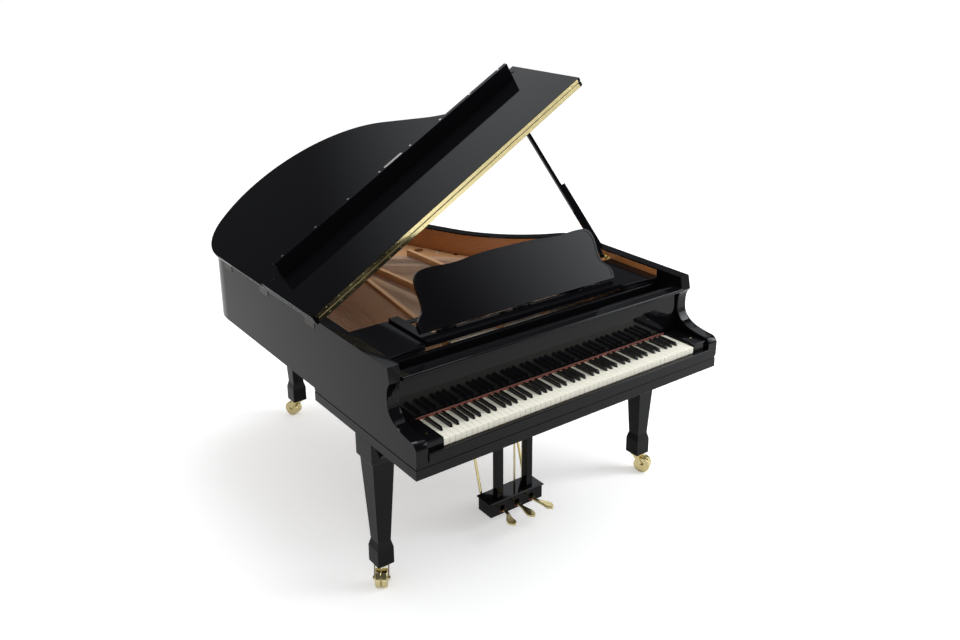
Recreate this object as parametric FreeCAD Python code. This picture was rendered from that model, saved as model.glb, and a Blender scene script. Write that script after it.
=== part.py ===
"""A grand piano with an open folded lid, built as separate solids in millimetres.

The model is drawn with x = 0 in the middle of the case (positive towards the treble),
y = 0 at the front of the arms (positive towards the tail) and z = 0 on the floor.
Every file is moved at the end so that the origin is the middle of the overall box's base.
"""

import math
import os

import FreeCAD
import Part

V = FreeCAD.Vector

# The case
CASE_HALF_WIDTH = 735.0
CASE_FRONT_Y = -6.0
RIM_TOP = 987.0
RIM_BOTTOM = 687.0
RIM_THICK = 48.0
CASE_INSIDE = CASE_HALF_WIDTH - RIM_THICK
CASE_FAR = 3000.0
CHEEK_STRAIGHT_END = 829.4
CHEEK_RADIUS = 90.0
CHEEK_TURN = 67.0
WAIST_RADIUS = 654.5
WAIST_TURN = 45.3
TAIL_RADIUS = 584.5
TAIL_TURN = 97.6
SPINE_RADIUS = 273.0
ARM_TOP_Y = 160.0
ARM_NOSE = (148.0, 930.0)
ARM_HOLLOW = [(163.0, 908.0), (169.0, 866.0), (163.0, 825.0), (136.0, 796.0),
              (88.0, 777.0), (27.0, 769.0)]
ARM_TOE = (-7.0, 745.0)
LINING_THICK = 1.5
LINING_FRONT = 292.0
LINING_BOTTOM = 880.6
LINING_TOP = RIM_TOP - 7.0
INNER_RIM_THICK = 38.0
INNER_RIM_BOTTOM = 702.0
SOUNDBOARD_BOTTOM = 838.0
SOUNDBOARD_THICK = 8.0
BELLY_FRONT = 482.0
BELLY_THICK = 40.0
BRACE_WIDTH = 60.0
BRACE_LINES = [((-600.0, 522.0), (-330.0, 1820.0)), ((-150.0, 522.0), (-330.0, 1820.0)),
               ((330.0, 522.0), (-330.0, 1820.0))]
LEG_PLATE_FRONT = 1630.0

# The keybed and what stands on it
BED_BOTTOM = 634.0
BED_FRONT = -3.0
BED_BACK = 715.0
GROOVE_Z = (672.0, 678.0)
GROOVE_DEPTH = 2.0
SLIP_Y = (-12.0, 6.0)
SLIP_TOP = 723.0
CHEEK_BLOCK_LEFT = -613.5
CHEEK_BLOCK_RIGHT = 617.0
CHEEK_BLOCK_OUTER = CASE_INSIDE - 1.0
CHEEK_BLOCK_Y = (8.0, 165.0)
CHEEK_BLOCK_TOP = 758.0
CHEEK_SCREW_RADIUS = 4.5
CHEEK_SCREW_Y = 60.0
CHEEK_SCREW_HEIGHT = 1.2
CHEEK_SCREW_INSET = 36.0
CHEEK_SLOT_HALF = 0.5

# The keys
NATURALS = 52
KEYBOARD_WIDTH = 1225.0
KEY_GAP = 1.0
KEY_FRONT = 8.0
KEY_HEAD_BACK = 58.0
KEY_TOP_BACK = 158.0
KEY_STICK_BACK = 400.0
KEY_BOTTOM = 723.0
KEY_TOP = 748.0
STICK_TOP = 745.0
SHARP_WIDTH = 10.0
SHARP_TOP = 760.0
SHARP_FRONT = 58.0
SHARP_SLOPE = 7.0
SHARP_BACK = 155.0
SHARP_SHIFT = {"c_sharp": -2.5, "d_sharp": 2.5, "f_sharp": -3.5, "g_sharp": 0.0, "a_sharp": 3.5}
PITCHES = ["c", "c_sharp", "d", "d_sharp", "e", "f", "f_sharp", "g", "g_sharp", "a", "a_sharp", "b"]
FIRST_PITCH = 9
NOTES = 88
BALANCE_Y = 230.0
BALANCE_Z = 722.7
BEARING_HALF = 4.0
BEARING_TOP = 722.5
KEY_FRAME_Z = (687.3, 706.0)
KEY_FRAME_HALF = 611.0
KEY_FRAME_WIDE = 630.0
PUNCHING_TOP = 711.0
PUNCHING_Y = (30.0, 42.0)
FRONT_RAIL_Y = (14.0, 60.0)
BALANCE_RAIL_Y = (205.0, 255.0)
BACK_RAIL_Y = (360.0, 405.0)
FRAME_END_WIDTH = 40.0
FRAME_MIDDLE_HALF = 20.0

# The action
ACTION_HALF = 630.0
BRACKET_THICK = 8.0
BRACKET_FOOT_Y = (240.0, 400.0)
HAMMER_RAIL_Y = (286.0, 304.0)
HAMMER_RAIL_Z = (786.0, 797.5)
REST_RAIL_Y = (380.0, 398.0)
REST_RAIL_Z = (758.0, 770.0)
WIPPEN_Y = (296.0, 380.0)
WIPPEN_Z = (758.0, 768.0)
WIPPEN_WIDTH = 8.0
SHANK_START = (298.0, 800.0)
SHANK_RADIUS = 2.5
STRIKE_Y = 418.0
HAMMER_TOP = 841.0
HAMMER_HEIGHT = 46.0
HAMMER_LONG = 24.0
HAMMER_WIDTH = 9.0
SOSTENUTO_Y = 440.0
SOSTENUTO_Z = 800.0
SOSTENUTO_RADIUS = 3.0
SHAFT_PLAY = 0.05
SOSTENUTO_REACH = CASE_INSIDE + 5.0
SOSTENUTO_BLADE_HALF = 600.0
SOSTENUTO_BLADE = 5.0

# Strings
NOTE_PITCH = 12.9
SECTION_GAP = 24.0
SECTION_STARTS = [20, 38, 54, 71]
WOUND_SINGLE = 10
WOUND_NOTES = 20
PLAIN_Z = 888.5
WOUND_Z = 901.0
PLAIN_RADIUS = 0.55
WOUND_THICKEST = 2.4
WOUND_THINNEST = 1.3
WOUND_LEAN = 8.0
TENOR_LEAN = -6.0
TREBLE_LEAN = 1.0
TRICHORD_STEP = 4.0
BICHORD_STEP = 3.0
TRICHORD_ROWS = [300.0, 320.0, 340.0]
BICHORD_ROWS = [308.0, 334.0]
SINGLE_ROW = [320.0]
PIN_RADIUS = 3.2
PIN_TOP = 907.0
PIN_DEPTH = 30.0
PIN_HOLE_PLAY = 0.05
PLATE_HOLE_PLAY = 0.6
STRING_START_GAP = 0.5
HITCH_LINE = [(676.0, 520.0), (655.0, 600.0), (560.0, 790.0), (405.0, 985.0), (232.0, 1180.0),
              (5.0, 1380.0), (-245.0, 1560.0), (-560.0, 1640.0)]
OPENING_SHIFT = V(-16.0, -20.0, 0.0)
WOUND_HITCH_INSET = 85.0
BRIDGE_LINE = [(640.0, 512.0), (600.0, 590.0), (500.0, 740.0), (360.0, 900.0), (180.0, 1080.0),
               (-50.0, 1270.0), (-290.0, 1440.0), (-500.0, 1520.0)]
BRIDGE_WIDTH = 32.0
BRIDGE_TOP = 887.4
BASS_BRIDGE = ((-500.0, 1712.0), (-165.0, 1706.0))
BASS_BRIDGE_TOP = 898.0

# The cast plate
PLATE_INSET = 52.0
PLATE_Z = (866.0, 880.0)
PLATE_FRONT = 290.0
PLATE_PANEL_BACK = 382.0
PLATE_LEFT = 123.0 - CASE_HALF_WIDTH
PLATE_RIGHT = CASE_HALF_WIDTH - 75.0
PLATE_FLANGE = 16.0
STRUT_WIDTH = 18.0
STRUT_TOP = 914.0
STRUT_FRONT = 362.0
STRUT_BACK_LAP = 30.0
STRUT_FOOT = 18.0
BRIDGE_ROOM = 2.0
BASS_STRUT_BOTTOM = 894.0
BASS_WINDOW = (-525.0, -140.0, 1680.0, 1738.0)
PLATE_HOLE_RADIUS = 24.0
SPINE_HOLES = [540.0, 700.0, 860.0, 1020.0, 1180.0, 1340.0, 1500.0]
SPINE_HOLE_X = 87.0 - CASE_HALF_WIDTH
TAIL_HOLES = [(-612.0, 1640.0), (-560.0, 1722.0), (-40.0, 1620.0), (75.0, 1500.0), (188.0, 1370.0)]
BENT_HOLES = [(300.0, 1210.0), (400.0, 1082.0), (510.0, 950.0)]
BENT_HOLE_RADIUS = 14.0
PIN_BLOCK_BOTTOM = 838.0
PIN_BLOCK_BACK = 374.0
STRING_FELT_Y = (349.0, 361.0)
STRING_FELT_TOP = 887.6
KEY_FELT_Y = (158.0, 171.0)
KEY_FELT_Z = (748.5, 750.5)

# Dampers
DAMPER_NOTES = 69
DAMPER_Y = 460.0
DAMPER_LONG = 30.0
DAMPER_WIDTH = 11.6
DAMPER_HEIGHT = 14.0
DAMPER_GAP = 0.4
DAMPER_WIRE_RADIUS = 0.6
DAMPER_WIRE_SIDE = 6.4
TRAY_Y = (450.0, 470.0)
TRAY_Z = (770.0, 782.0)
TRAY_HALF = 622.0

# Fallboard, stretcher and music desk
FALL_PIVOT = (174.0, 760.0)
FALL_FACE = 178.0
FALL_BACK = 198.0
FALL_TOP = 944.0
FALL_BOTTOM = FALL_PIVOT[1] - 8.0
FALL_LIP_FRONT = 138.5
FALL_LIP_UNDER = 928.0
FALL_LIP_REVEAL = 1.0
FALL_ROUND = 5.0
FALL_HALF = CASE_INSIDE - 2.5
FALL_BLOCK = 8.5
FALL_NOSE_RADIUS = 8.0
FALL_PIN_RADIUS = 4.0
FALL_PIN_REACH = CASE_INSIDE + 7.0
STRETCHER_Y = (268.0, 287.0)
STRETCHER_Z = (840.0, 936.0)
SHELF_Z = (936.0, 956.0)
SHELF_OUTER = CASE_INSIDE - 2.0
SHELF_INNER = 486.0
SHELF_FRONT = 270.0
SHELF_BACK = 562.0
SHELF_CORNER_Y = 292.0
SHELF_CORNER_RADIUS = 12.0
SHELF_HOLLOW = 15.0
CLEAT_FRONT = STRETCHER_Y[1] + 8.0
LEDGE_FRONT = SHELF_CORNER_Y + 16.0
LEDGE_INNER = 462.0
LEDGE_Z = (936.0, 946.0)
CLEAT_WIDTH = 14.0
CLEAT_DROP = 20.0
DESK_FRAME_Z = (946.3, 966.3)
DESK_FRAME_HALF = 482.0
DESK_BAR_Y = (290.0, 350.0)
RUNNER_INNER = 440.0
RUNNER_BACK = 560.0
CROSSBAR_Y = (505.0, 535.0)
CROSSBAR_Z = (941.0, 951.0)
DESK_HINGE = (345.0, 970.0)
DESK_LEAN = 29.0
DESK_FRONT = -12.0
DESK_REAR = 2.0
DESK_OUTLINE = [(482.0, 4.0), (482.0, 10.0), (469.0, 60.0), (446.0, 85.0), (441.0, 130.0),
                (444.0, 176.0), (436.0, 212.0), (404.0, 232.0)]
DESK_TOP_LINE = [(404.0, 232.0), (322.0, 233.0), (280.0, 230.0), (160.0, 238.0), (0.0, 242.0)]
DESK_BEAD = 2.0
DESK_BEAD_WIDTH = 9.0
DESK_KNUCKLES = [-360.0, 0.0, 360.0]
DESK_KNUCKLE_LONG = 50.0
DESK_KNUCKLE_RADIUS = 3.2
DESK_PIN_RADIUS = 1.5
DESK_PIN_LAP = 20.0
DESK_KNUCKLE_PLAY = 0.4
DESK_NECK_HALF = 1.5
STAY_PIVOT_UP = 150.0
STAY_PIVOT_BACK = 9.0
STAY_LENGTH = 166.0
STAY_SIZE = (30.0, 7.0)
STAY_ANGLE = 117.3
STAY_PIN_RADIUS = 2.0
STAY_EAR = 4.0
STAY_PLAY = 0.6
STAY_EAR_HALF = 5.0

# The lid
LID_OPEN = 30.08
LID_AXIS = (-CASE_HALF_WIDTH - 6.0, RIM_TOP + 1.5)
LID_UNDER = RIM_TOP + 3.0
LID_THICK = 20.0
LID_OVERHANG = 15.0
LID_ROUND = 4.0
FOLD_Y = 626.0
FOLD_Z = LID_UNDER + LID_THICK + 0.4
FOLD_GAP = 2.0
LEAF_THICK = 1.6
LEAF_Z = (LID_UNDER + 1.5, LID_UNDER + LID_THICK - 2.7)
LEAF_PLAY = 0.3
FOLD_KNUCKLE_RADIUS = 2.4
FOLD_KNUCKLE_LONG = 31.0
FOLD_PIN_RADIUS = 1.2
FOLD_KNUCKLE_PLAY = 0.25
FOLD_HALF = CASE_HALF_WIDTH + 1.0
REBATE_DEEP = 2.2
FLAP_FRONT = 183.0
RAIL_Y = (246.0, 266.5)
RAIL_DROP = 74.0
RAIL_HALF = CASE_HALF_WIDTH - 57.0
RAIL_SCREWS = 8
RAIL_SCREW_PITCH = 179.7
RAIL_SCREW_RADIUS = 5.5
RAIL_SCREW_RISE = 1.6
RAIL_SLOT_HALF = 0.6
RAIL_SLOT_DEPTH = 0.8
RAIL_PLATE_X = (-63.0, 39.0)
RAIL_PLATE_WIDTH = 14.0
RAIL_PLATE_RISE = 1.2
BUMPER_X = CASE_HALF_WIDTH - 23.0
BUMPER_Y = 225.0
BUMPER_RADIUS = 8.0
BUMPER_BOTTOM = RIM_TOP + 0.4
BUTT_HINGES = [720.0, 1130.0, 1500.0]
BUTT_LONG = 80.0
BUTT_RADIUS = 3.8
BUTT_PIN_RADIUS = 2.0
BUTT_PLAY = 0.8
BUTT_LEAF_Z = (LID_UNDER - 1.7, LID_UNDER - 0.2)
BUTT_LEAF_REACH = 31.0 - CASE_HALF_WIDTH
BUTT_PLATE_THICK = 1.6
BUTT_KNUCKLE_PLAY = 0.3
BUTT_NECK_THICK = 1.6
BUTT_PLATE_BOTTOM = RIM_TOP - 39.0

# The prop
PROP_PIVOT = V(CASE_INSIDE - 20.0, 602.0, RIM_TOP - 25.0)
PROP_TOUCH = (440.0, 1035.0)
PROP_TIP_INSET = 9.0
PROP_TIP_RADIUS = 8.0
PROP_STORED_TURN = 70.0
PROP_STORED_DIP = -1.0
PROP_AXIS_TILT = 3.0
PROP_WIDTH = 16.0
PROP_EYE_RADIUS = 11.0
PROP_PIN_RADIUS = 4.0
PROP_PIN_REACH = 6.0
PROP_START = 9.0
HALF_LENGTH = 326.0
HALF_GAP = 0.6
HALF_PIN_AT = 38.0
HALF_PIN_RADIUS = 3.0
HALF_CHEEK = 3.0
HALF_CHEEK_LONG = 14.0
HALF_CHEEK_PLAY = 0.5
HALF_OPEN = 24.0
BRACKET_THICKNESS = 2.5
BRACKET_HALF = (26.0, 13.0)
BRACKET_SCREW_AT = 19.0
BRACKET_SCREW = (4.0, 1.4)
CUP_RADIUS = 16.0
CUP_THICK = 0.6

# Legs and casters
LEG_BLOCK_HALF = 56.0
LEG_CENTRES = {"left": (LEG_BLOCK_HALF - CASE_HALF_WIDTH, 348.0),
               "right": (CASE_HALF_WIDTH - LEG_BLOCK_HALF, 348.0), "back": (-339.0, 1733.0)}
LEG_TOPS = {"left": BED_BOTTOM, "right": BED_BOTTOM, "back": RIM_BOTTOM}
LEG_BLOCK_DROP = 83.0
LEG_SHOULDER_HALF = 46.0
LEG_SHOULDER_DROP = 14.0
LEG_NECK_Z = 190.0
LEG_NECK_HALF = 28.0
LEG_FOOT_HALF = 35.3
LEG_FOOT_TOP = 160.0
LEG_FOOT_BOTTOM = 90.0
WING_THICK = 44.0
WING_LIP = 7.0
WING_REACH = {"left": (180.0, 144.0), "right": (180.0, 144.0), "back": (150.0, 84.0)}
WING_SHAPE = [(0.0, 0.0), (0.07, 0.36), (0.26, 0.72), (0.6, 0.93), (1.0, 1.0)]
CASTER_TRAILS = {"left": (-16.4, -22.7), "right": (13.8, -24.4), "back": (-11.7, 25.4)}
CASTER_TRAIL = 28.0
WHEEL_RADIUS = 36.0
WHEEL_WIDTH = 22.0
WHEEL_SPACE = 1.0
WHEEL_ROUND = 4.0
WHEEL_HUB_RADIUS = 10.0
AXLE_RADIUS = 4.0
AXLE_HALF = 33.5
FORK_PLATE = (25.0, 29.0)
FORK_ROOT = (-14.0, 12.0)
FORK_BRIDGE = 3.0
FORK_CHEEK_HALF = 7.0
FORK_CAP_RADIUS = 9.0
FORK_TOP = (83.0, 89.7)
FORK_DISC_RADIUS = 31.0
STEM_RADIUS = 8.0
STEM_TOP = 140.0

# Lyre and pedals
LYRE_X = (-146.0, 126.0)
LYRE_Y = (360.0, 445.0)
LYRE_Z = (57.0, 125.0)
LYRE_WALL = 9.0
LYRE_MOULD = 6.0
LYRE_MOULD_Z = (112.0, 125.0)
POST_X = [-87.0, 67.0]
POST_WIDTH = 30.0
POST_Y = (372.0, 404.0)
BRACE_X = [-125.0, 105.0]
BRACE_FOOT = (452.0, 104.0)
BRACE_HEAD = (598.0, 622.0)
BRACE_RADIUS = 6.0
BRACE_PAD = 3.0
BRACE_PAD_RADIUS = 12.0
BRACE_LAP = 20.0
BRACE_ROOM = 30.0
BRACE_PLAY = 0.3
PEDAL_PIVOT = (385.0, 80.0)
PEDAL_PIN_RADIUS = 3.0
PEDAL_NAMES = ["left", "middle", "right"]
PEDAL_SLOT_X = {"left": -86.0, "middle": -10.0, "right": 66.0}
PEDAL_TIP_X = {"left": -112.0, "middle": -12.0, "right": 85.0}
PEDAL_ROD_X = {"left": -80.0, "middle": 18.0, "right": 60.0}
PEDAL_TIP_Y = 243.0
PEDAL_NECK_Y = 318.0
PEDAL_NECK_HALF = 7.0
PEDAL_SPOON_HALF = 17.0
PEDAL_SPOON_BACK = 32.0
PEDAL_SPOON_FRONT = 10.0
PEDAL_NECK_LONG = 28.0
PEDAL_ROUND = 2.5
PEDAL_TAIL_LAP = 7.0
PEDAL_Z = (75.0, 85.0)
PEDAL_SLOT_HALF = 11.0
PEDAL_SLOT_Z = (65.5, 97.0)
PEDAL_TAIL_BACK = 420.0
PEDAL_FELT_TOP = 71.0
ROD_Y = 412.0
ROD_RADIUS = 4.0
ROD_HOLE_PLAY = 0.5
BED_HOLE_PLAY = 1.5
ROD_BOTTOM = PEDAL_Z[1] + 0.6
ROD_END_CHAMFER = 2.0
ROD_TOP = 680.0


def box(x_low, x_high, y_low, y_high, z_low, z_high):
    """A box between two corners."""
    return Part.makeBox(x_high - x_low, y_high - y_low, z_high - z_low, V(x_low, y_low, z_low))


def rod(start, end, radius):
    """A round rod between two points."""
    return Part.makeCylinder(radius, (end - start).Length, start, end - start)


def cross_rod(x_low, x_high, y, z, radius):
    """A round rod lying along x."""
    return rod(V(x_low, y, z), V(x_high, y, z), radius)


def post(x, y, z_low, z_high, radius):
    """A round rod standing on end."""
    return rod(V(x, y, z_low), V(x, y, z_high), radius)


def fused(shapes):
    """One solid from several that touch."""
    whole = shapes[0].multiFuse(shapes[1:]) if len(shapes) > 1 else shapes[0]
    return whole.removeSplitter()


def cut(shape, tools):
    """A shape with several others taken away."""
    return shape.cut(Part.makeCompound(tools))


def together(shapes):
    """Separate solids kept in one file."""
    return Part.makeCompound(shapes)


def side_prism(points, x_low, x_high):
    """A prism along x from corners given as (y, z)."""
    corners = [V(x_low, y, z) for y, z in points]
    face = Part.Face(Part.makePolygon(corners + corners[:1]))
    return face.extrude(V(x_high - x_low, 0, 0))


def plan_prism(points, z_low, z_high):
    """An upright prism from corners given as (x, y)."""
    corners = [V(x, y, z_low) for x, y in points]
    face = Part.Face(Part.makePolygon(corners + corners[:1]))
    return face.extrude(V(0, 0, z_high - z_low))


def curve(points):
    """A smooth edge through points."""
    line = Part.BSplineCurve()
    line.interpolate(points)
    return line.toShape()


def straight(start, end):
    """A straight edge."""
    return Part.LineSegment(start, end).toShape()


def arc(start, middle, end):
    """A round edge through three points."""
    return Part.Arc(start, middle, end).toShape()


def face_from(edges):
    """A flat face inside a closed chain of edges."""
    return Part.Face(Part.Wire(Part.__sortEdges__(edges)))


def strip(start, end, width, z_low, z_high):
    """A straight bar seen from above, with its centre line from start to end."""
    along = V(end[0] - start[0], end[1] - start[1], 0)
    along.normalize()
    side = V(-along.y, along.x, 0) * (width / 2)
    a, b = V(start[0], start[1], 0), V(end[0], end[1], 0)
    corners = [a + side, a - side, b - side, b + side]
    return plan_prism([(p.x, p.y) for p in corners], z_low, z_high)


def ribbon(points, width, z_low, z_high):
    """A curved bar seen from above, of even width about a smooth line."""
    left, right = [], []
    for index, point in enumerate(points):
        before = points[max(index - 1, 0)]
        after = points[min(index + 1, len(points) - 1)]
        along = V(after[0] - before[0], after[1] - before[1], 0)
        along.normalize()
        side = V(-along.y, along.x, 0) * (width / 2)
        left.append(V(point[0], point[1], z_low) + side)
        right.append(V(point[0], point[1], z_low) - side)
    edges = [curve(left), straight(left[-1], right[-1]), curve(right), straight(right[0], left[0])]
    return face_from(edges).extrude(V(0, 0, z_high - z_low))


def aligned_bar(origin, along, across, spans):
    """A box in turned directions; spans are (low, high) along, across and up."""
    up = along.cross(across)
    turn = FreeCAD.Matrix(along.x, across.x, up.x, origin.x,
                          along.y, across.y, up.y, origin.y,
                          along.z, across.z, up.z, origin.z, 0, 0, 0, 1)
    low = V(spans[0][0], spans[1][0], spans[2][0])
    size = [high - start for start, high in spans]
    block = Part.makeBox(size[0], size[1], size[2], low)
    return block.transformGeometry(turn)


# The outline of the case

def bend_reach(radius, heading, turn):
    """How far a bend carries a walker who starts it at a heading; left turns are positive."""
    sign = 1 if turn > 0 else -1
    start = math.radians(heading)
    end = math.radians(heading + turn)
    return (sign * radius * (math.sin(end) - math.sin(start)),
            sign * radius * (math.cos(start) - math.cos(end)))


def bent_side_length():
    """The straight stretch of the bent side that brings the outline back to the spine."""
    bends = [(CHEEK_RADIUS, CHEEK_TURN), (WAIST_RADIUS, -WAIST_TURN),
             (TAIL_RADIUS, TAIL_TURN), (SPINE_RADIUS, spine_turn())]
    heading, across = 90.0, 0.0
    for radius, turn in bends:
        across += bend_reach(radius, heading, turn)[0]
        heading += turn
    slope = math.radians(90.0 + CHEEK_TURN - WAIST_TURN)
    return -(2 * CASE_HALF_WIDTH + across) / math.cos(slope)


def spine_turn():
    """The last bend completes the half turn."""
    return 180.0 - CHEEK_TURN + WAIST_TURN - TAIL_TURN


def outline_edges(inset, front_y):
    """Edges of the case outline from the treble side round the tail to the bass side."""
    steps = [("line", CHEEK_STRAIGHT_END - front_y), (CHEEK_RADIUS, CHEEK_TURN),
             (WAIST_RADIUS, -WAIST_TURN), ("line", bent_side_length()),
             (TAIL_RADIUS, TAIL_TURN), (SPINE_RADIUS, spine_turn())]
    here = V(CASE_HALF_WIDTH - inset, front_y, 0)
    heading = 90.0
    edges = []
    for kind, amount in steps:
        if kind == "line":
            slope = math.radians(heading)
            there = here + V(math.cos(slope), math.sin(slope), 0) * amount
            edges.append(straight(here, there))
        else:
            radius = kind - inset if amount > 0 else kind + inset
            half = here + V(*bend_reach(radius, heading, amount / 2), 0)
            there = here + V(*bend_reach(radius, heading, amount), 0)
            edges.append(arc(here, half, there))
            heading += amount
        here = there
    edges.append(straight(here, V(here.x, front_y, 0)))
    return edges


def outline_slab(inset, front_y, z_low, z_high):
    """A slab of the case's shape, closed straight across at its front."""
    edges = outline_edges(inset, front_y)
    edges.append(straight(edges[-1].Vertexes[-1].Point, edges[0].Vertexes[0].Point))
    face = face_from(edges)
    face.translate(V(0, 0, z_low))
    return face.extrude(V(0, 0, z_high - z_low))


def outline_ring(outer_inset, inner_inset, front_y, z_low, z_high):
    """A wall that follows the case's shape and is open at the front."""
    outer = outline_slab(outer_inset, front_y, z_low, z_high)
    inner = outline_slab(inner_inset, front_y - 1, z_low - 1, z_high + 1)
    return outer.cut(inner)


# The case pieces

def arm_side():
    """The side view of the arms and rim as one face in the x = 0 plane."""
    top = V(0, ARM_TOP_Y, RIM_TOP)
    nose = V(0, ARM_NOSE[0], ARM_NOSE[1])
    hollow = [nose] + [V(0, y, z) for y, z in ARM_HOLLOW]
    toe = V(0, ARM_TOE[0], ARM_TOE[1])
    foot = V(0, CASE_FRONT_Y, RIM_BOTTOM)
    far = CASE_FAR
    edges = [straight(top, nose), curve(hollow)]
    edges.append(arc(hollow[-1], V(0, 2.0, 760.0), toe))
    edges.append(straight(toe, foot))
    edges.append(straight(foot, V(0, far, RIM_BOTTOM)))
    edges.append(straight(V(0, far, RIM_BOTTOM), V(0, far, RIM_TOP)))
    edges.append(straight(V(0, far, RIM_TOP), top))
    return face_from(edges)


def outer_rim():
    """The glossy outer rim with both arms, and blind holes for what turns in it."""
    wall = outline_ring(0, RIM_THICK, CASE_FRONT_Y - 4, RIM_BOTTOM, RIM_TOP)
    side = arm_side()
    side.translate(V(-CASE_HALF_WIDTH - 10, 0, 0))
    wall = wall.common(side.extrude(V(2 * CASE_HALF_WIDTH + 20, 0, 0)))
    reach = FALL_PIN_REACH + 0.5
    holes = [cross_rod(-reach, reach, FALL_PIVOT[0], FALL_PIVOT[1], FALL_PIN_RADIUS + SHAFT_PLAY)]
    reach = SOSTENUTO_REACH + 0.5
    radius = SOSTENUTO_RADIUS + SHAFT_PLAY
    holes.append(cross_rod(-reach, reach, SOSTENUTO_Y, SOSTENUTO_Z, radius))
    return cut(wall, holes)


def rim_lining():
    """The veneer inside the rim above the plate."""
    return outline_ring(RIM_THICK, RIM_THICK + LINING_THICK, LINING_FRONT, LINING_BOTTOM, LINING_TOP)


def inner_frame():
    """Inner rim, belly rail, braces, the back leg's plate and the pin block."""
    inset = RIM_THICK + INNER_RIM_THICK
    wall = outline_ring(RIM_THICK, inset, BELLY_FRONT, INNER_RIM_BOTTOM, SOUNDBOARD_BOTTOM)
    half = CASE_HALF_WIDTH - inset
    belly_back = BELLY_FRONT + BELLY_THICK
    belly = box(-half, half, BELLY_FRONT, belly_back, INNER_RIM_BOTTOM, SOUNDBOARD_BOTTOM)
    inside = outline_slab(inset, belly_back, INNER_RIM_BOTTOM, SOUNDBOARD_BOTTOM)
    braces = []
    for start, end in BRACE_LINES:
        beam = strip(start, end, BRACE_WIDTH, INNER_RIM_BOTTOM, SOUNDBOARD_BOTTOM - 25)
        braces.append(beam.common(inside))
    under = outline_slab(RIM_THICK, BELLY_FRONT, RIM_BOTTOM, INNER_RIM_BOTTOM)
    half = CASE_HALF_WIDTH
    room = box(-half, half, LEG_PLATE_FRONT, CASE_FAR, RIM_BOTTOM, INNER_RIM_BOTTOM)
    leg_plate = under.common(room)
    frame = fused([wall, belly] + braces + [leg_plate])
    half = CASE_INSIDE
    block = box(-half, half, PLATE_FRONT, PIN_BLOCK_BACK, PIN_BLOCK_BOTTOM, PLATE_Z[0])
    return together([frame, cut(block, pin_shapes(PIN_RADIUS + PIN_HOLE_PLAY))])


def keybed():
    """The keybed with its moulding groove and the holes for the pedal rods."""
    half = CASE_HALF_WIDTH
    bed = box(-half, half, BED_FRONT, BED_BACK, BED_BOTTOM, RIM_BOTTOM)
    inner = half - GROOVE_DEPTH
    ring = box(-half - 1, half + 1, BED_FRONT - 1, BED_BACK, GROOVE_Z[0], GROOVE_Z[1])
    core = box(-inner, inner, BED_FRONT + GROOVE_DEPTH, BED_BACK, GROOVE_Z[0], GROOVE_Z[1])
    tools = [ring.cut(core)]
    for name in PEDAL_NAMES:
        x = PEDAL_ROD_X[name]
        tools.append(post(x, ROD_Y, BED_BOTTOM - 1, RIM_BOTTOM + 1, ROD_RADIUS + BED_HOLE_PLAY))
    return cut(bed, tools)


def key_slip():
    """The low board in front of the keys, with a rounded top edge."""
    half = CHEEK_BLOCK_OUTER
    board = box(-half, half, SLIP_Y[0], SLIP_Y[1], RIM_BOTTOM, SLIP_TOP)
    front_low = box(-half, half, SLIP_Y[0], BED_FRONT, RIM_BOTTOM - 1, RIM_BOTTOM + 6)
    board = board.cut(front_low)
    edges = [e for e in board.Edges if e.BoundBox.ZMin > SLIP_TOP - 0.1 and e.Length > half]
    return board.makeFillet(3.0, edges)


def cheek_blocks():
    """The blocks at both ends of the keys."""
    blocks = []
    for low, high in ((-CHEEK_BLOCK_OUTER, CHEEK_BLOCK_LEFT), (CHEEK_BLOCK_RIGHT, CHEEK_BLOCK_OUTER)):
        block = box(low, high, CHEEK_BLOCK_Y[0], CHEEK_BLOCK_Y[1], RIM_BOTTOM, CHEEK_BLOCK_TOP)
        edges = [e for e in block.Edges if e.BoundBox.ZMin > CHEEK_BLOCK_TOP - 0.1]
        blocks.append(block.makeFillet(4.0, edges))
    return together(blocks)


def stretcher():
    """The board across the case in front of the tuning pins."""
    half = CASE_INSIDE
    return box(-half, half, STRETCHER_Y[0], STRETCHER_Y[1], STRETCHER_Z[0], STRETCHER_Z[1])


def felt_strips():
    """The key felt, the string felt and the pads under the pedals."""
    key_felt = box(CHEEK_BLOCK_LEFT, CHEEK_BLOCK_RIGHT, KEY_FELT_Y[0], KEY_FELT_Y[1],
                   KEY_FELT_Z[0], KEY_FELT_Z[1])
    strips = [key_felt]
    for low, high in section_spans():
        strips.append(box(low, high, STRING_FELT_Y[0], STRING_FELT_Y[1], PLATE_Z[1], STRING_FELT_TOP))
    for name in PEDAL_NAMES:
        x = PEDAL_SLOT_X[name]
        strips.append(box(x - PEDAL_SLOT_HALF, x + PEDAL_SLOT_HALF, LYRE_Y[0] - 0.6,
                          LYRE_Y[0] + LYRE_WALL, PEDAL_SLOT_Z[0], PEDAL_FELT_TOP))
    return together(strips)


# Notes and strings

def note_x(note):
    """Where a note's strings start, from the bass."""
    width = NOTES * NOTE_PITCH + len(SECTION_STARTS) * SECTION_GAP
    gaps = sum(1 for start in SECTION_STARTS if note >= start)
    return -width / 2 + NOTE_PITCH * (note + 0.5) + SECTION_GAP * gaps


def note_lean(note):
    """How far a note's strings lean from straight back, in degrees towards the treble."""
    if note < WOUND_NOTES:
        return WOUND_LEAN
    share = (note - WOUND_NOTES) / (NOTES - 1 - WOUND_NOTES)
    return TENOR_LEAN + (TREBLE_LEAN - TENOR_LEAN) * share


def lean_shift(lean, y):
    """The sideways shift of a leaning string at a distance from the dampers."""
    return math.tan(math.radians(lean)) * (y - DAMPER_Y)


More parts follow.
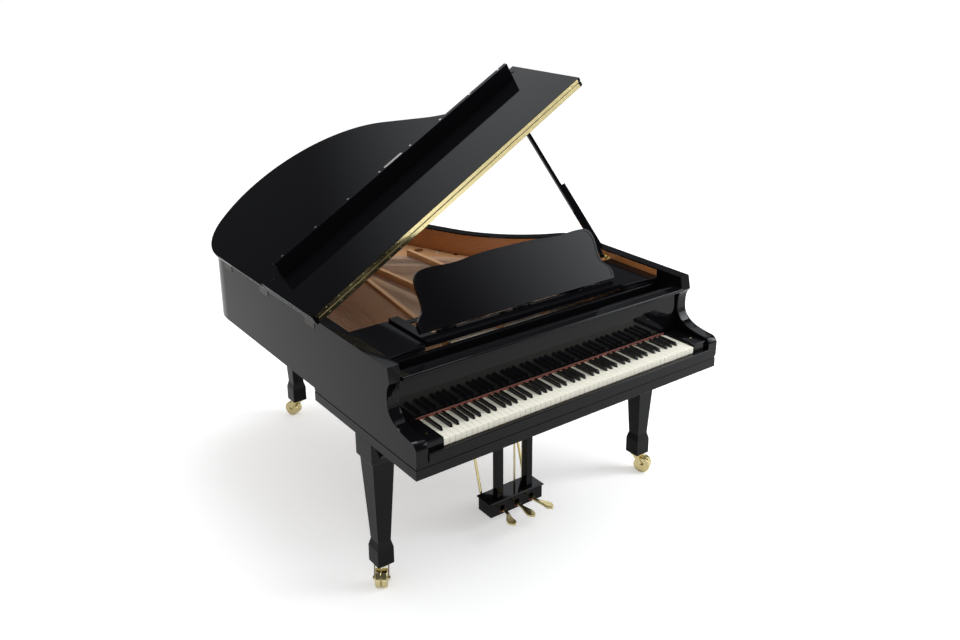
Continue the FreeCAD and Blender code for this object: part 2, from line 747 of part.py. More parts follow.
def section_spans():
    """Left and right ends of each group of strings at the string felt."""
    bounds = [0] + SECTION_STARTS + [NOTES]
    y = STRING_FELT_Y[1]
    spans = []
    for start, end in zip(bounds[:-1], bounds[1:]):
        low = note_x(start) + lean_shift(note_lean(start), y) - NOTE_PITCH / 2
        high = note_x(end - 1) + lean_shift(note_lean(end - 1), y) + NOTE_PITCH / 2
        spans.append((low, high))
    return spans


def note_strings(note):
    """The sideways step and pin row of each string of a note."""
    if note < WOUND_SINGLE:
        return list(zip([0.0], SINGLE_ROW))
    if note < WOUND_NOTES:
        return list(zip([-BICHORD_STEP, BICHORD_STEP], BICHORD_ROWS))
    return list(zip([-TRICHORD_STEP, 0.0, TRICHORD_STEP], TRICHORD_ROWS))


def pin_centre(note, step, row):
    """A tuning pin stands where its string begins."""
    return note_x(note) + step + lean_shift(note_lean(note), row), row


def pin_shapes(radius):
    """All tuning pins at a radius, also used to drill their holes."""
    pins = []
    for note in range(NOTES):
        for step, row in note_strings(note):
            x, y = pin_centre(note, step, row)
            pins.append(post(x, y, PLATE_Z[0] - PIN_DEPTH + 6, PIN_TOP, radius))
    return pins


def tuning_pins():
    """All tuning pins."""
    return together([pin.copy() for pin in pin_shapes(PIN_RADIUS)])


def string_end(start, lean, line):
    """Where a string from start meets its hitch line."""
    slope = math.radians(lean)
    ray = straight(start, start + V(math.sin(slope), math.cos(slope), 0) * 2200)
    return ray.distToShape(line)[1][0][0]


def one_string(note, step, row, line, z, radius):
    """One straight string from its pin to its hitch."""
    x, y = pin_centre(note, step, row)
    lean = note_lean(note)
    slope = math.radians(lean)
    along = V(math.sin(slope), math.cos(slope), 0)
    start = V(x, y, 0) + along * (PIN_RADIUS + STRING_START_GAP)
    end = string_end(start, lean, line)
    lift = V(0, 0, z)
    return rod(start + lift, end + lift, radius)


def hitch_curve():
    """The line on the plate where the plain strings end."""
    return curve([V(x, y, 0) for x, y in HITCH_LINE])


def plain_strings():
    """The steel strings, three to a note."""
    line = hitch_curve()
    strings = []
    for note in range(WOUND_NOTES, NOTES):
        for step, row in note_strings(note):
            strings.append(one_string(note, step, row, line, PLAIN_Z, PLAIN_RADIUS))
    return together(strings)


def wound_radius(note):
    """Bass strings grow thinner towards the tenor."""
    share = note / (WOUND_NOTES - 1)
    return WOUND_THICKEST + (WOUND_THINNEST - WOUND_THICKEST) * share


def wound_strings():
    """The copper-wound bass strings that cross over the tenor strings."""
    line = Part.Wire(Part.__sortEdges__(outline_edges(WOUND_HITCH_INSET, BELLY_FRONT)))
    strings = []
    for note in range(WOUND_NOTES):
        for step, row in note_strings(note):
            strings.append(one_string(note, step, row, line, WOUND_Z, wound_radius(note)))
    return together(strings)


def soundboard():
    """The soundboard with its long bridge and bass bridge."""
    bottom = SOUNDBOARD_BOTTOM
    top = bottom + SOUNDBOARD_THICK
    board = outline_slab(RIM_THICK + 1, BELLY_FRONT, bottom, top)
    bridge = ribbon(BRIDGE_LINE, BRIDGE_WIDTH, top, BRIDGE_TOP)
    bass = strip(BASS_BRIDGE[0], BASS_BRIDGE[1], BRIDGE_WIDTH, top, BASS_BRIDGE_TOP)
    return together([board, bridge, bass])


def opening_face():
    """The large opening of the plate as one face, before the struts cross it."""
    line = [V(x, y, 0) + OPENING_SHIFT for x, y in HITCH_LINE]
    line[0] = V(PLATE_RIGHT, PLATE_PANEL_BACK + 100, 0)
    edges = [curve(line)]
    corners = [line[-1], V(PLATE_LEFT, line[-1].y - 30, 0), V(PLATE_LEFT, PLATE_PANEL_BACK, 0),
               V(PLATE_RIGHT, PLATE_PANEL_BACK, 0), line[0]]
    for start, end in zip(corners[:-1], corners[1:]):
        edges.append(straight(start, end))
    return face_from(edges)


def strut_ends(start_note):
    """Front and back of the strut in front of a section, midway between two notes."""
    middle = (note_x(start_note - 1) + note_x(start_note)) / 2
    if start_note == WOUND_NOTES:
        lean = WOUND_LEAN
    else:
        lean = (note_lean(start_note - 1) + note_lean(start_note)) / 2
    front = V(middle + lean_shift(lean, STRUT_FRONT), STRUT_FRONT, 0)
    end = string_end(front, lean, hitch_curve())
    slope = math.radians(lean)
    back = end + V(math.sin(slope), math.cos(slope), 0) * STRUT_BACK_LAP
    return front, back


def one_strut(start_note):
    """A strut that passes over the long bridge; the bass strut also passes over tenor strings."""
    front, back = strut_ends(start_note)
    start, end = (front.x, front.y), (back.x, back.y)
    if start_note != WOUND_NOTES:
        bar = strip(start, end, STRUT_WIDTH, PLATE_Z[0], STRUT_TOP)
        width = BRIDGE_WIDTH + 2 * BRIDGE_ROOM
        return [bar.cut(ribbon(BRIDGE_LINE, width, PLATE_Z[0] - 1, BRIDGE_TOP + BRIDGE_ROOM))]
    foot = (back - front).normalize() * STRUT_FOOT
    toe, heel = front + foot, back - foot
    pieces = [strip(start, end, STRUT_WIDTH, BASS_STRUT_BOTTOM, STRUT_TOP)]
    for near, far in ((start, (toe.x, toe.y)), ((heel.x, heel.y), end)):
        pieces.append(strip(near, far, STRUT_WIDTH, PLATE_Z[1] - 1, STRUT_TOP))
    return pieces


def plate():
    """The cast plate: pin panel, flange with round holes, and the struts."""
    low, high = PLATE_Z
    body = outline_slab(PLATE_INSET, PLATE_FRONT, low, high)
    opening = opening_face()
    opening.translate(V(0, 0, low - 1))
    window = box(BASS_WINDOW[0], BASS_WINDOW[1], BASS_WINDOW[2], BASS_WINDOW[3], low - 1, high + 1)
    tools = [opening.extrude(V(0, 0, high - low + 2)), window]
    for y in SPINE_HOLES:
        tools.append(post(SPINE_HOLE_X, y, low - 1, high + 1, PLATE_HOLE_RADIUS))
    for x, y in TAIL_HOLES:
        tools.append(post(x, y, low - 1, high + 1, PLATE_HOLE_RADIUS))
    for x, y in BENT_HOLES:
        tools.append(post(x, y, low - 1, high + 1, BENT_HOLE_RADIUS))
    body = cut(body, tools)
    body = cut(body, pin_shapes(PIN_RADIUS + PLATE_HOLE_PLAY))
    feet = outline_ring(PLATE_INSET, PLATE_INSET + PLATE_FLANGE, BELLY_FRONT,
                        SOUNDBOARD_BOTTOM + SOUNDBOARD_THICK, low)
    pieces = [body, feet]
    for start_note in SECTION_STARTS:
        pieces += one_strut(start_note)
    return fused(pieces)


def damper_set():
    """Damper heads on their wires, all standing on one lifting tray."""
    pieces = [box(-TRAY_HALF, TRAY_HALF, TRAY_Y[0], TRAY_Y[1], TRAY_Z[0], TRAY_Z[1])]
    for note in range(DAMPER_NOTES):
        x = note_x(note) + lean_shift(note_lean(note), DAMPER_Y)
        wound = note < WOUND_NOTES
        string_top = WOUND_Z + wound_radius(note) if wound else PLAIN_Z + PLAIN_RADIUS
        bottom = string_top + DAMPER_GAP
        half = DAMPER_WIDTH / 2
        low_y, high_y = DAMPER_Y - DAMPER_LONG / 2, DAMPER_Y + DAMPER_LONG / 2
        head = box(x - half, x + half, low_y, high_y, bottom, bottom + DAMPER_HEIGHT)
        wire_x = x + DAMPER_WIRE_SIDE
        ear = box(x, wire_x + DAMPER_WIRE_RADIUS, DAMPER_Y - 2, DAMPER_Y + 2,
                  bottom + 4, bottom + DAMPER_HEIGHT)
        wire = post(wire_x, DAMPER_Y, TRAY_Z[1] - 2, bottom + 8, DAMPER_WIRE_RADIUS)
        pieces.append(fused([head, ear, wire]))
    return fused(pieces)


# Keys and action

def natural_edges(index):
    """Left and right side of a natural key."""
    width = KEYBOARD_WIDTH / NATURALS
    left = -KEYBOARD_WIDTH / 2 + index * width
    return left + KEY_GAP / 2, left + width - KEY_GAP / 2


def key_list():
    """Every key as (pitch name, natural index or None, sharp centre or None)."""
    keys = []
    natural = 0
    width = KEYBOARD_WIDTH / NATURALS
    for note in range(NOTES):
        pitch = PITCHES[(note + FIRST_PITCH) % 12]
        if pitch in SHARP_SHIFT:
            centre = -KEYBOARD_WIDTH / 2 + natural * width + SHARP_SHIFT[pitch]
            keys.append((pitch, None, centre))
        else:
            keys.append((pitch, natural, None))
            natural += 1
    return keys


def natural_key(index, left_sharp, right_sharp):
    """A natural key with its stick cut clear of the sharps beside it."""
    left, right = natural_edges(index)
    clear = SHARP_WIDTH / 2 + KEY_GAP
    tail_left = left if left_sharp is None else left_sharp + clear
    tail_right = right if right_sharp is None else right_sharp - clear
    head = box(left, right, KEY_FRONT, KEY_HEAD_BACK, KEY_BOTTOM, KEY_TOP)
    tail = box(tail_left, tail_right, KEY_HEAD_BACK, KEY_TOP_BACK, KEY_BOTTOM, KEY_TOP)
    stick = box(tail_left, tail_right, KEY_TOP_BACK, KEY_STICK_BACK, KEY_BOTTOM, STICK_TOP)
    return fused([head, tail, stick])


def sharp_key(centre):
    """A sharp key with a sloping front."""
    half = SHARP_WIDTH / 2
    profile = [(SHARP_FRONT + KEY_GAP, KEY_BOTTOM), (SHARP_FRONT + KEY_GAP, KEY_TOP),
               (SHARP_FRONT + SHARP_SLOPE, SHARP_TOP), (SHARP_BACK, SHARP_TOP),
               (SHARP_BACK, STICK_TOP), (KEY_STICK_BACK, STICK_TOP), (KEY_STICK_BACK, KEY_BOTTOM)]
    return side_prism(profile, centre - half, centre + half)


def key_group(pitch):
    """All keys of one pitch name."""
    keys = key_list()
    shapes = []
    for number, (name, natural, centre) in enumerate(keys):
        if name != pitch:
            continue
        if centre is not None:
            shapes.append(sharp_key(centre))
            continue
        before = keys[number - 1][2] if number > 0 else None
        after = keys[number + 1][2] if number + 1 < len(keys) else None
        shapes.append(natural_key(natural, before, after))
    return together(shapes)


def key_frame():
    """The key frame: three rails, two ends, the bearing strip and the front punchings."""
    low, high = KEY_FRAME_Z
    half, wide = KEY_FRAME_HALF, KEY_FRAME_WIDE
    front = box(-half, half, FRONT_RAIL_Y[0], FRONT_RAIL_Y[1], low, high)
    punching = box(-half, half, PUNCHING_Y[0], PUNCHING_Y[1], high, PUNCHING_TOP)
    balance = box(-wide, wide, BALANCE_RAIL_Y[0], BALANCE_RAIL_Y[1], low, high)
    bearing = box(-half, half, BALANCE_Y - BEARING_HALF, BALANCE_Y + BEARING_HALF, high, BEARING_TOP)
    back = box(-wide, wide, BACK_RAIL_Y[0], BACK_RAIL_Y[1], low, high)
    rails = [front, punching, balance, bearing, back]
    for start in (-wide, wide - FRAME_END_WIDTH):
        rails.append(box(start, start + FRAME_END_WIDTH, BALANCE_RAIL_Y[0], BACK_RAIL_Y[1], low, high))
    middle = FRAME_MIDDLE_HALF
    rails.append(box(-middle, middle, FRONT_RAIL_Y[0], BACK_RAIL_Y[1], low, high))
    return fused(rails)


def action_frame():
    """The rails that carry hammers and levers, with the levers and both end brackets."""
    half = ACTION_HALF
    hammer_rail = box(-half, half, HAMMER_RAIL_Y[0], HAMMER_RAIL_Y[1],
                      HAMMER_RAIL_Z[0], HAMMER_RAIL_Z[1])
    rest_rail = box(-half, half, REST_RAIL_Y[0], REST_RAIL_Y[1], REST_RAIL_Z[0], REST_RAIL_Z[1])
    front, back = BRACKET_FOOT_Y
    profile = [(front, KEY_FRAME_Z[1]), (back, KEY_FRAME_Z[1]), (back, REST_RAIL_Z[1]),
               (HAMMER_RAIL_Y[1], HAMMER_RAIL_Z[1]), (HAMMER_RAIL_Y[0] - 2, HAMMER_RAIL_Z[1])]
    left = side_prism(profile, -half, -half + BRACKET_THICK)
    right = side_prism(profile, half - BRACKET_THICK, half)
    shapes = [fused([hammer_rail, rest_rail, left, right])]
    for note in range(NOTES):
        x = note_x(note)
        shapes.append(box(x - WIPPEN_WIDTH / 2, x + WIPPEN_WIDTH / 2, WIPPEN_Y[0], WIPPEN_Y[1],
                          WIPPEN_Z[0], WIPPEN_Z[1]))
    return together(shapes)


def hammers():
    """Hammer heads on their shanks, each with a small block on the rail."""
    shapes = []
    for note in range(NOTES):
        x = note_x(note) + lean_shift(note_lean(note), STRIKE_Y)
        low = HAMMER_TOP - HAMMER_HEIGHT
        half_long = HAMMER_LONG / 2
        profile = [(STRIKE_Y - 6, low), (STRIKE_Y + 6, low), (STRIKE_Y + half_long, HAMMER_TOP - 14),
                   (STRIKE_Y + 7, HAMMER_TOP - 3), (STRIKE_Y, HAMMER_TOP),
                   (STRIKE_Y - 7, HAMMER_TOP - 3), (STRIKE_Y - half_long, HAMMER_TOP - 14)]
        head = side_prism(profile, x - HAMMER_WIDTH / 2, x + HAMMER_WIDTH / 2)
        foot_x = note_x(note)
        start = V(foot_x, SHANK_START[0], SHANK_START[1] + 2)
        shank = rod(start, V(x, STRIKE_Y, low + 14), SHANK_RADIUS)
        foot = box(foot_x - 4, foot_x + 4, HAMMER_RAIL_Y[0], HAMMER_RAIL_Y[1],
                   HAMMER_RAIL_Z[1], SHANK_START[1] + 5)
        shapes.append(fused([head, shank, foot]))
    return together(shapes)


def sostenuto_rail():
    """The turning rail with its blade beside the damper wires."""
    reach = SOSTENUTO_REACH
    bar = cross_rod(-reach, reach, SOSTENUTO_Y, SOSTENUTO_Z, SOSTENUTO_RADIUS)
    half = SOSTENUTO_BLADE_HALF
    blade = box(-half, half, SOSTENUTO_Y, SOSTENUTO_Y + SOSTENUTO_BLADE + 2,
                SOSTENUTO_Z - 1, SOSTENUTO_Z + 1)
    return fused([bar, blade])


# Fallboard and music desk

def fallboard():
    """The fallboard standing open, with its end blocks and pins, and its lip glued on in front."""
    board = box(-FALL_HALF, FALL_HALF, FALL_FACE, FALL_BACK, FALL_BOTTOM, FALL_TOP)
    back_top = [e for e in board.Edges if e.Length > FALL_HALF and e.BoundBox.YMin > FALL_BACK - 0.1
                and e.BoundBox.ZMin > FALL_TOP - 0.1]
    lip_half = FALL_HALF - FALL_LIP_REVEAL
    lip = box(-lip_half, lip_half, FALL_LIP_FRONT, FALL_FACE, FALL_LIP_UNDER,
              FALL_TOP - FALL_LIP_REVEAL)
    nose = [e for e in lip.Edges if e.Length > lip_half and e.BoundBox.YMax < FALL_LIP_FRONT + 0.1]
    lip = lip.makeFillet(FALL_ROUND, nose)
    pieces = [board.makeFillet(FALL_ROUND, back_top)]
    for side in (-1, 1):
        low, high = sorted((side * FALL_HALF, side * (FALL_HALF - FALL_BLOCK)))
        pieces.append(cross_rod(low, high, FALL_PIVOT[0], FALL_PIVOT[1], FALL_NOSE_RADIUS))
        pieces.append(box(low, high, FALL_PIVOT[0], FALL_BACK, FALL_BOTTOM,
                          FALL_PIVOT[1] + FALL_NOSE_RADIUS))
        low, high = sorted((side * FALL_HALF, side * FALL_PIN_REACH))
        pieces.append(cross_rod(low, high, FALL_PIVOT[0], FALL_PIVOT[1], FALL_PIN_RADIUS))
    return together([fused(pieces), lip])


def shelf_plan(side):
    """One shelf seen from above, with a hollow front edge."""
    z = SHELF_Z[0]
    outer = side * SHELF_OUTER
    inner = side * SHELF_INNER
    turn = SHELF_CORNER_RADIUS
    front = V(outer, SHELF_FRONT, z)
    corner_start = V(inner + side * turn, SHELF_CORNER_Y - 4, z)
    corner_end = V(inner, SHELF_CORNER_Y + turn, z)
    middle = V((outer + inner) / 2, SHELF_FRONT + SHELF_HOLLOW, z)
    corner_middle = V(inner + side * turn * 0.3, SHELF_CORNER_Y + 1, z)
    edges = [arc(front, middle, corner_start), arc(corner_start, corner_middle, corner_end)]
    edges.append(straight(corner_end, V(inner, SHELF_BACK, z)))
    edges.append(straight(V(inner, SHELF_BACK, z), V(outer, SHELF_BACK, z)))
    edges.append(straight(V(outer, SHELF_BACK, z), front))
    return face_from(edges)


def desk_shelves():
    """Two side shelves with the cleats and ledges that carry them and the desk."""
    shelves = []
    for side in (-1, 1):
        top = shelf_plan(side).extrude(V(0, 0, SHELF_Z[1] - SHELF_Z[0]))
        low, high = sorted((side * SHELF_OUTER, side * (SHELF_OUTER - CLEAT_WIDTH)))
        cleat = box(low, high, CLEAT_FRONT, SHELF_BACK, SHELF_Z[0] - CLEAT_DROP, SHELF_Z[0])
        low, high = sorted((side * LEDGE_INNER, side * (SHELF_INNER + 4)))
        ledge = box(low, high, LEDGE_FRONT, SHELF_BACK, LEDGE_Z[0], LEDGE_Z[1])
        shelves.append(fused([top, cleat, ledge]))
    return together(shelves)


def desk_knuckle_spans(inner):
    """Stretches of the desk hinge that belong to the desk, or to its frame."""
    spans = []
    for centre in DESK_KNUCKLES:
        half = DESK_KNUCKLE_LONG / 2
        if inner:
            spans.append((centre - half, centre + half))
        else:
            near = half + DESK_KNUCKLE_PLAY
            far = half + DESK_PIN_LAP
            spans.append((centre - far, centre - near))
            spans.append((centre + near, centre + far))
    return spans


def desk_frame():
    """The sliding frame: front bar, two runners, a crossbar and the hinge pins."""
    low, high = DESK_FRAME_Z
    half = DESK_FRAME_HALF
    pieces = [box(-half, half, DESK_BAR_Y[0], DESK_BAR_Y[1], low, high)]
    for side in (-1, 1):
        inner, outer = sorted((side * RUNNER_INNER, side * half))
        pieces.append(box(inner, outer, DESK_BAR_Y[1] - 1, RUNNER_BACK, low, high))
    cross = box(-RUNNER_INNER - 1, RUNNER_INNER + 1, CROSSBAR_Y[0], CROSSBAR_Y[1],
                low, CROSSBAR_Z[1])
    pieces.append(cross)
    y, z = DESK_HINGE
    radius = DESK_KNUCKLE_RADIUS
    for start, end in desk_knuckle_spans(False):
        pieces.append(cross_rod(start, end, y, z, radius))
        pieces.append(box(start, end, y - DESK_NECK_HALF, y + DESK_NECK_HALF, high - 1, z))
    for centre in DESK_KNUCKLES:
        reach = (DESK_KNUCKLE_LONG + DESK_PIN_LAP) / 2
        pieces.append(cross_rod(centre - reach, centre + reach, y, z, DESK_PIN_RADIUS))
    return fused(pieces)


def mirrored_chain(points, y):
    """The points of one half and their mirror image, as vectors in the desk's own plane."""
    right = [V(x, y, z) for x, z in points]
    left = [V(-x, y, z) for x, z in points]
    return right, left


def drawn_in(points, inset):
    """Desk outline points drawn in evenly from the outer edge."""
    half, low, high = DESK_OUTLINE[0][0], DESK_OUTLINE[0][1], DESK_TOP_LINE[-1][1]
    across = (half - inset) / half
    upward = (high - low - 2 * inset) / (high - low)
    return [(x * across, low + inset + (z - low) * upward) for x, z in points]


def desk_outline(y, inset=0.0):
    """Edges round the music desk, drawn upright."""
    right, left = mirrored_chain(drawn_in(DESK_OUTLINE, inset), y)
    top_half = drawn_in(DESK_TOP_LINE, inset)
    top = [V(x, y, z) for x, z in top_half]
    top += [V(-x, y, z) for x, z in reversed(top_half[:-1])]
    edges = [straight(left[0], right[0]), straight(right[0], right[1]), straight(left[0], left[1])]
    edges += [curve(right[1:]), curve(left[1:]), curve(top)]
    return edges


def lean_back(shape):
    """Turn a shape drawn upright at the hinge into the desk's resting lean, and place it."""
    shape.rotate(V(0, 0, 0), V(1, 0, 0), -DESK_LEAN)
    shape.translate(V(0, DESK_HINGE[0], DESK_HINGE[1]))
    return shape


def music_desk():
    """The music desk with a raised edge, leaning back on its hinge."""
    panel = face_from(desk_outline(DESK_FRONT)).extrude(V(0, DESK_REAR - DESK_FRONT, 0))
    outer = face_from(desk_outline(DESK_FRONT - DESK_BEAD))
    inner = face_from(desk_outline(DESK_FRONT - DESK_BEAD, DESK_BEAD_WIDTH))
    bead = outer.cut(inner).extrude(V(0, DESK_BEAD, 0))
    pieces = [panel, bead]
    bores = []
    for start, end in desk_knuckle_spans(True):
        pieces.append(cross_rod(start, end, 0, 0, DESK_KNUCKLE_RADIUS))
        pieces.append(box(start, end, -2, 2, 0, 6))
        bores.append(cross_rod(start - 1, end + 1, 0, 0, DESK_PIN_RADIUS + SHAFT_PLAY))
    back = STAY_PIVOT_BACK
    up = STAY_PIVOT_UP
    ears = []
    for side in (-1, 1):
        near = STAY_SIZE[0] / 2 + STAY_PLAY
        low, high = sorted((side * near, side * (near + STAY_EAR)))
        ears.append(box(low, high, DESK_REAR - 1, back + STAY_EAR,
                        up - STAY_EAR_HALF, up + STAY_EAR_HALF))
    pin = cross_rod(-STAY_SIZE[0] / 2 - 2, STAY_SIZE[0] / 2 + 2, back, up, STAY_PIN_RADIUS)
    body = cut(fused(pieces), bores)
    return lean_back(fused([body] + ears + [pin]))


def desk_stay():
    """The strut behind the desk, standing on the crossbar."""
    half, thick = STAY_SIZE[0] / 2, STAY_SIZE[1]
    bar = box(-half, half, -thick / 2, thick / 2, 0, STAY_LENGTH)
    eye = cross_rod(-half, half, 0, 0, thick / 2)
    foot = cross_rod(-half, half, 0, STAY_LENGTH, thick / 2)
    stay = fused([bar, eye, foot])
    stay = stay.cut(cross_rod(-half - 1, half + 1, 0, 0, STAY_PIN_RADIUS + SHAFT_PLAY))
    stay.rotate(V(0, 0, 0), V(1, 0, 0), -STAY_ANGLE)
    stay.translate(V(0, STAY_PIVOT_BACK, STAY_PIVOT_UP))
    return lean_back(stay)


# The lid, drawn closed and then opened

def open_lid(shape):
    """Turn a piece of the closed lid to its open place."""
    shape.rotate(V(LID_AXIS[0], 0, LID_AXIS[1]), V(0, 1, 0), -LID_OPEN)
    return shape


def fold_back(shape):
    """Turn a piece of the closed front flap over onto the main lid, then open the lid."""
    shape.rotate(V(0, FOLD_Y, FOLD_Z), V(1, 0, 0), -180)
    return open_lid(shape)


def round_long_edges(shape, heights, radius, skip_y):
    """Round the edges at given heights, leaving those at the fold sharp."""
    chosen = []
    for edge in shape.Edges:
        spot = edge.BoundBox
        level = spot.ZMax - spot.ZMin < 0.01 and any(abs(spot.ZMin - z) < 0.01 for z in heights)
        at_fold = abs(spot.YMin - skip_y) < 0.01 and abs(spot.YMax - skip_y) < 0.01
        if level and not at_fold:
            chosen.append(edge)
    return shape.makeFillet(radius, chosen)


def fold_rebate(y_low, y_high):
    """Room along the fold for the long hinge's necks."""
    reach = CASE_HALF_WIDTH + 2 * LID_OVERHANG
    return box(-reach, reach, y_low, y_high, LEAF_Z[1] - LEAF_PLAY, FOLD_Z + 5)


def main_lid():
    """The large rear lid with room for its hinges."""
    front = FOLD_Y + FOLD_GAP
    lid = outline_slab(-LID_OVERHANG, front, LID_UNDER, LID_UNDER + LID_THICK)
    lid = round_long_edges(lid, [LID_UNDER, LID_UNDER + LID_THICK], LID_ROUND, front)
    x, z = LID_AXIS
    tools = [fold_rebate(front - 1, front + REBATE_DEEP)]
    for y in BUTT_HINGES:
        half = BUTT_LONG / 2 + 1
        tools.append(rod(V(x, y - half, z), V(x, y + half, z), BUTT_RADIUS + BUTT_PLAY))
    return open_lid(cut(lid, tools))


def front_lid():
    """The front flap, folded back on the main lid."""
    half = CASE_HALF_WIDTH + LID_OVERHANG
    back = FOLD_Y - FOLD_GAP
    flap = box(-half, half, FLAP_FRONT, back, LID_UNDER, LID_UNDER + LID_THICK)
    flap = round_long_edges(flap, [LID_UNDER, LID_UNDER + LID_THICK], LID_ROUND, back)
    return fold_back(cut(flap, [fold_rebate(back - REBATE_DEEP, back + 1)]))


def front_rail():
    """The rail under the flap and the two rubber bumpers beside it."""
    bottom = LID_UNDER - RAIL_DROP
    rail = box(-RAIL_HALF, RAIL_HALF, RAIL_Y[0], RAIL_Y[1], bottom, LID_UNDER)
    edges = [e for e in rail.Edges if e.BoundBox.ZMax < bottom + 0.1]
    shapes = [rail.makeFillet(1.5, edges)]
    for x in (-BUMPER_X, BUMPER_X):
        shapes.append(post(x, BUMPER_Y, BUMPER_BOTTOM, LID_UNDER, BUMPER_RADIUS))
    return fold_back(together(shapes))


def rail_hardware():
    """The screws and the bare plate on the rail's free edge."""
    bottom = LID_UNDER - RAIL_DROP
    y = (RAIL_Y[0] + RAIL_Y[1]) / 2
    shapes = []
    for number in range(RAIL_SCREWS):
        x = RAIL_SCREW_PITCH * (number - (RAIL_SCREWS - 1) / 2)
        head = post(x, y, bottom - RAIL_SCREW_RISE, bottom, RAIL_SCREW_RADIUS)
        reach = RAIL_SCREW_RADIUS + 0.5
        slot = box(x - reach, x + reach, y - RAIL_SLOT_HALF, y + RAIL_SLOT_HALF,
                   bottom - RAIL_SCREW_RISE - 1, bottom - RAIL_SLOT_DEPTH)
        shapes.append(head.cut(slot))
    half = RAIL_PLATE_WIDTH / 2
    low, high = RAIL_PLATE_X
    bar = box(low + half, high - half, y - half, y + half, bottom - RAIL_PLATE_RISE, bottom)
    ends = [post(x, y, bottom - RAIL_PLATE_RISE, bottom, half) for x in (low + half, high - half)]
    shapes.append(fused([bar] + ends))
    return fold_back(together(shapes))


def fold_knuckles(first, radius):
    """Every second stretch of the long hinge's barrel, with the necks that hold it."""
    pieces = []
    count = int(2 * FOLD_HALF / FOLD_KNUCKLE_LONG)
    start = -count * FOLD_KNUCKLE_LONG / 2
    for number in range(first, count, 2):
        low = start + number * FOLD_KNUCKLE_LONG + FOLD_KNUCKLE_PLAY
        high = low + FOLD_KNUCKLE_LONG - 2 * FOLD_KNUCKLE_PLAY
        pieces.append(cross_rod(low, high, FOLD_Y, FOLD_Z, radius))
        neck_low = FOLD_Y + 0.4 if first == 0 else FOLD_Y - 0.4 - LEAF_THICK
        pieces.append(box(low, high, neck_low, neck_low + LEAF_THICK, LEAF_Z[1] - 0.5, FOLD_Z))
    return pieces


def fold_leaf(first):
    """One leaf of the long hinge with its screws; the first also holds the hinge pin."""
    side = 1 if first == 0 else -1
    near, far = FOLD_Y + side * (FOLD_GAP - LEAF_THICK), FOLD_Y + side * FOLD_GAP
    leaf = box(-FOLD_HALF, FOLD_HALF, min(near, far), max(near, far), LEAF_Z[0], LEAF_Z[1])
    pieces = [leaf] + fold_knuckles(first, FOLD_KNUCKLE_RADIUS)
    body = fused(pieces)
    count = int(2 * FOLD_HALF / FOLD_KNUCKLE_LONG)
    reach = count * FOLD_KNUCKLE_LONG / 2
    if first == 0:
        return fused([body, cross_rod(-reach, reach, FOLD_Y, FOLD_Z, FOLD_PIN_RADIUS)])
    return body.cut(cross_rod(-reach - 1, reach + 1, FOLD_Y, FOLD_Z, FOLD_PIN_RADIUS + SHAFT_PLAY))


def lid_hinges():
    """The main lid's butt leaves, its half of the long hinge and the prop's rest pad."""
    x, z = LID_AXIS
    shapes = [fold_leaf(0)]
    for y in BUTT_HINGES:
        half = BUTT_LONG / 2
        third = BUTT_LONG / 6
        leaf = box(x + 1, BUTT_LEAF_REACH, y - half, y + half, BUTT_LEAF_Z[0], BUTT_LEAF_Z[1])
        room = [rod(V(x, y - half - 1, z), V(x, y - third + 0.4, z), BUTT_RADIUS + 0.5),
                rod(V(x, y + third - 0.4, z), V(x, y + half + 1, z), BUTT_RADIUS + 0.5)]
        barrel = rod(V(x, y - third, z), V(x, y + third, z), BUTT_RADIUS)
        body = fused([cut(leaf, room), barrel])
        bore = rod(V(x, y - half - 1, z), V(x, y + half + 1, z), BUTT_PIN_RADIUS + SHAFT_PLAY)
        shapes.append(body.cut(bore))
    opened = open_lid(together(shapes))
    normal = lid_normal()
    spot = prop_touch()
    pad = Part.makeCylinder(CUP_RADIUS, CUP_THICK, spot - normal * CUP_THICK, normal)
    return together(opened.Solids + [pad])


def flap_hinge():
    """The flap's half of the long hinge."""
    return fold_back(fold_leaf(1))


def rim_hinges():
    """The case's butt leaves with their pins."""
    x, z = LID_AXIS
    side = -CASE_HALF_WIDTH
    shapes = []
    for y in BUTT_HINGES:
        half = BUTT_LONG / 2
        third = BUTT_LONG / 6
        plate_top = z - BUTT_RADIUS - 2 * BUTT_KNUCKLE_PLAY
        leaf = box(side - BUTT_PLATE_THICK, side, y - half, y + half, BUTT_PLATE_BOTTOM, plate_top)
        pieces = [leaf, rod(V(x, y - half, z), V(x, y + half, z), BUTT_PIN_RADIUS)]
        near = third + BUTT_KNUCKLE_PLAY
        for low, high in ((y - half, y - near), (y + near, y + half)):
            pieces.append(rod(V(x, low, z), V(x, high, z), BUTT_RADIUS))
            pieces.append(box(x, side, low, high, plate_top - BUTT_NECK_THICK, z - BUTT_RADIUS / 2))
        shapes.append(fused(pieces))
    return together(shapes)


# The prop

def lid_normal():
    """The open lid's upward normal."""
    slope = math.radians(LID_OPEN)
    return V(-math.sin(slope), 0, math.cos(slope))


def prop_touch():
    """The point of the open lid's underside above the prop's tip."""
    slope = math.radians(LID_OPEN)
    x, y = PROP_TOUCH
    lift = (LID_UNDER - LID_AXIS[1]) / math.cos(slope)
    return V(x, y, LID_AXIS[1] + (x - LID_AXIS[0]) * math.tan(slope) + lift)


def prop_tip():
    """The centre of the prop's rounded tip."""
    return prop_touch() - lid_normal() * PROP_TIP_INSET


def raised_direction():
    """From the prop's pivot to its tip."""
    along = prop_tip() - PROP_PIVOT
    return along.normalize()


def stored_direction():
    """Where the prop lies under the closed lid."""
    turn = math.radians(PROP_STORED_TURN)
    dip = math.radians(PROP_STORED_DIP)
    return V(-math.sin(turn) * math.cos(dip), math.cos(turn) * math.cos(dip), math.sin(dip))


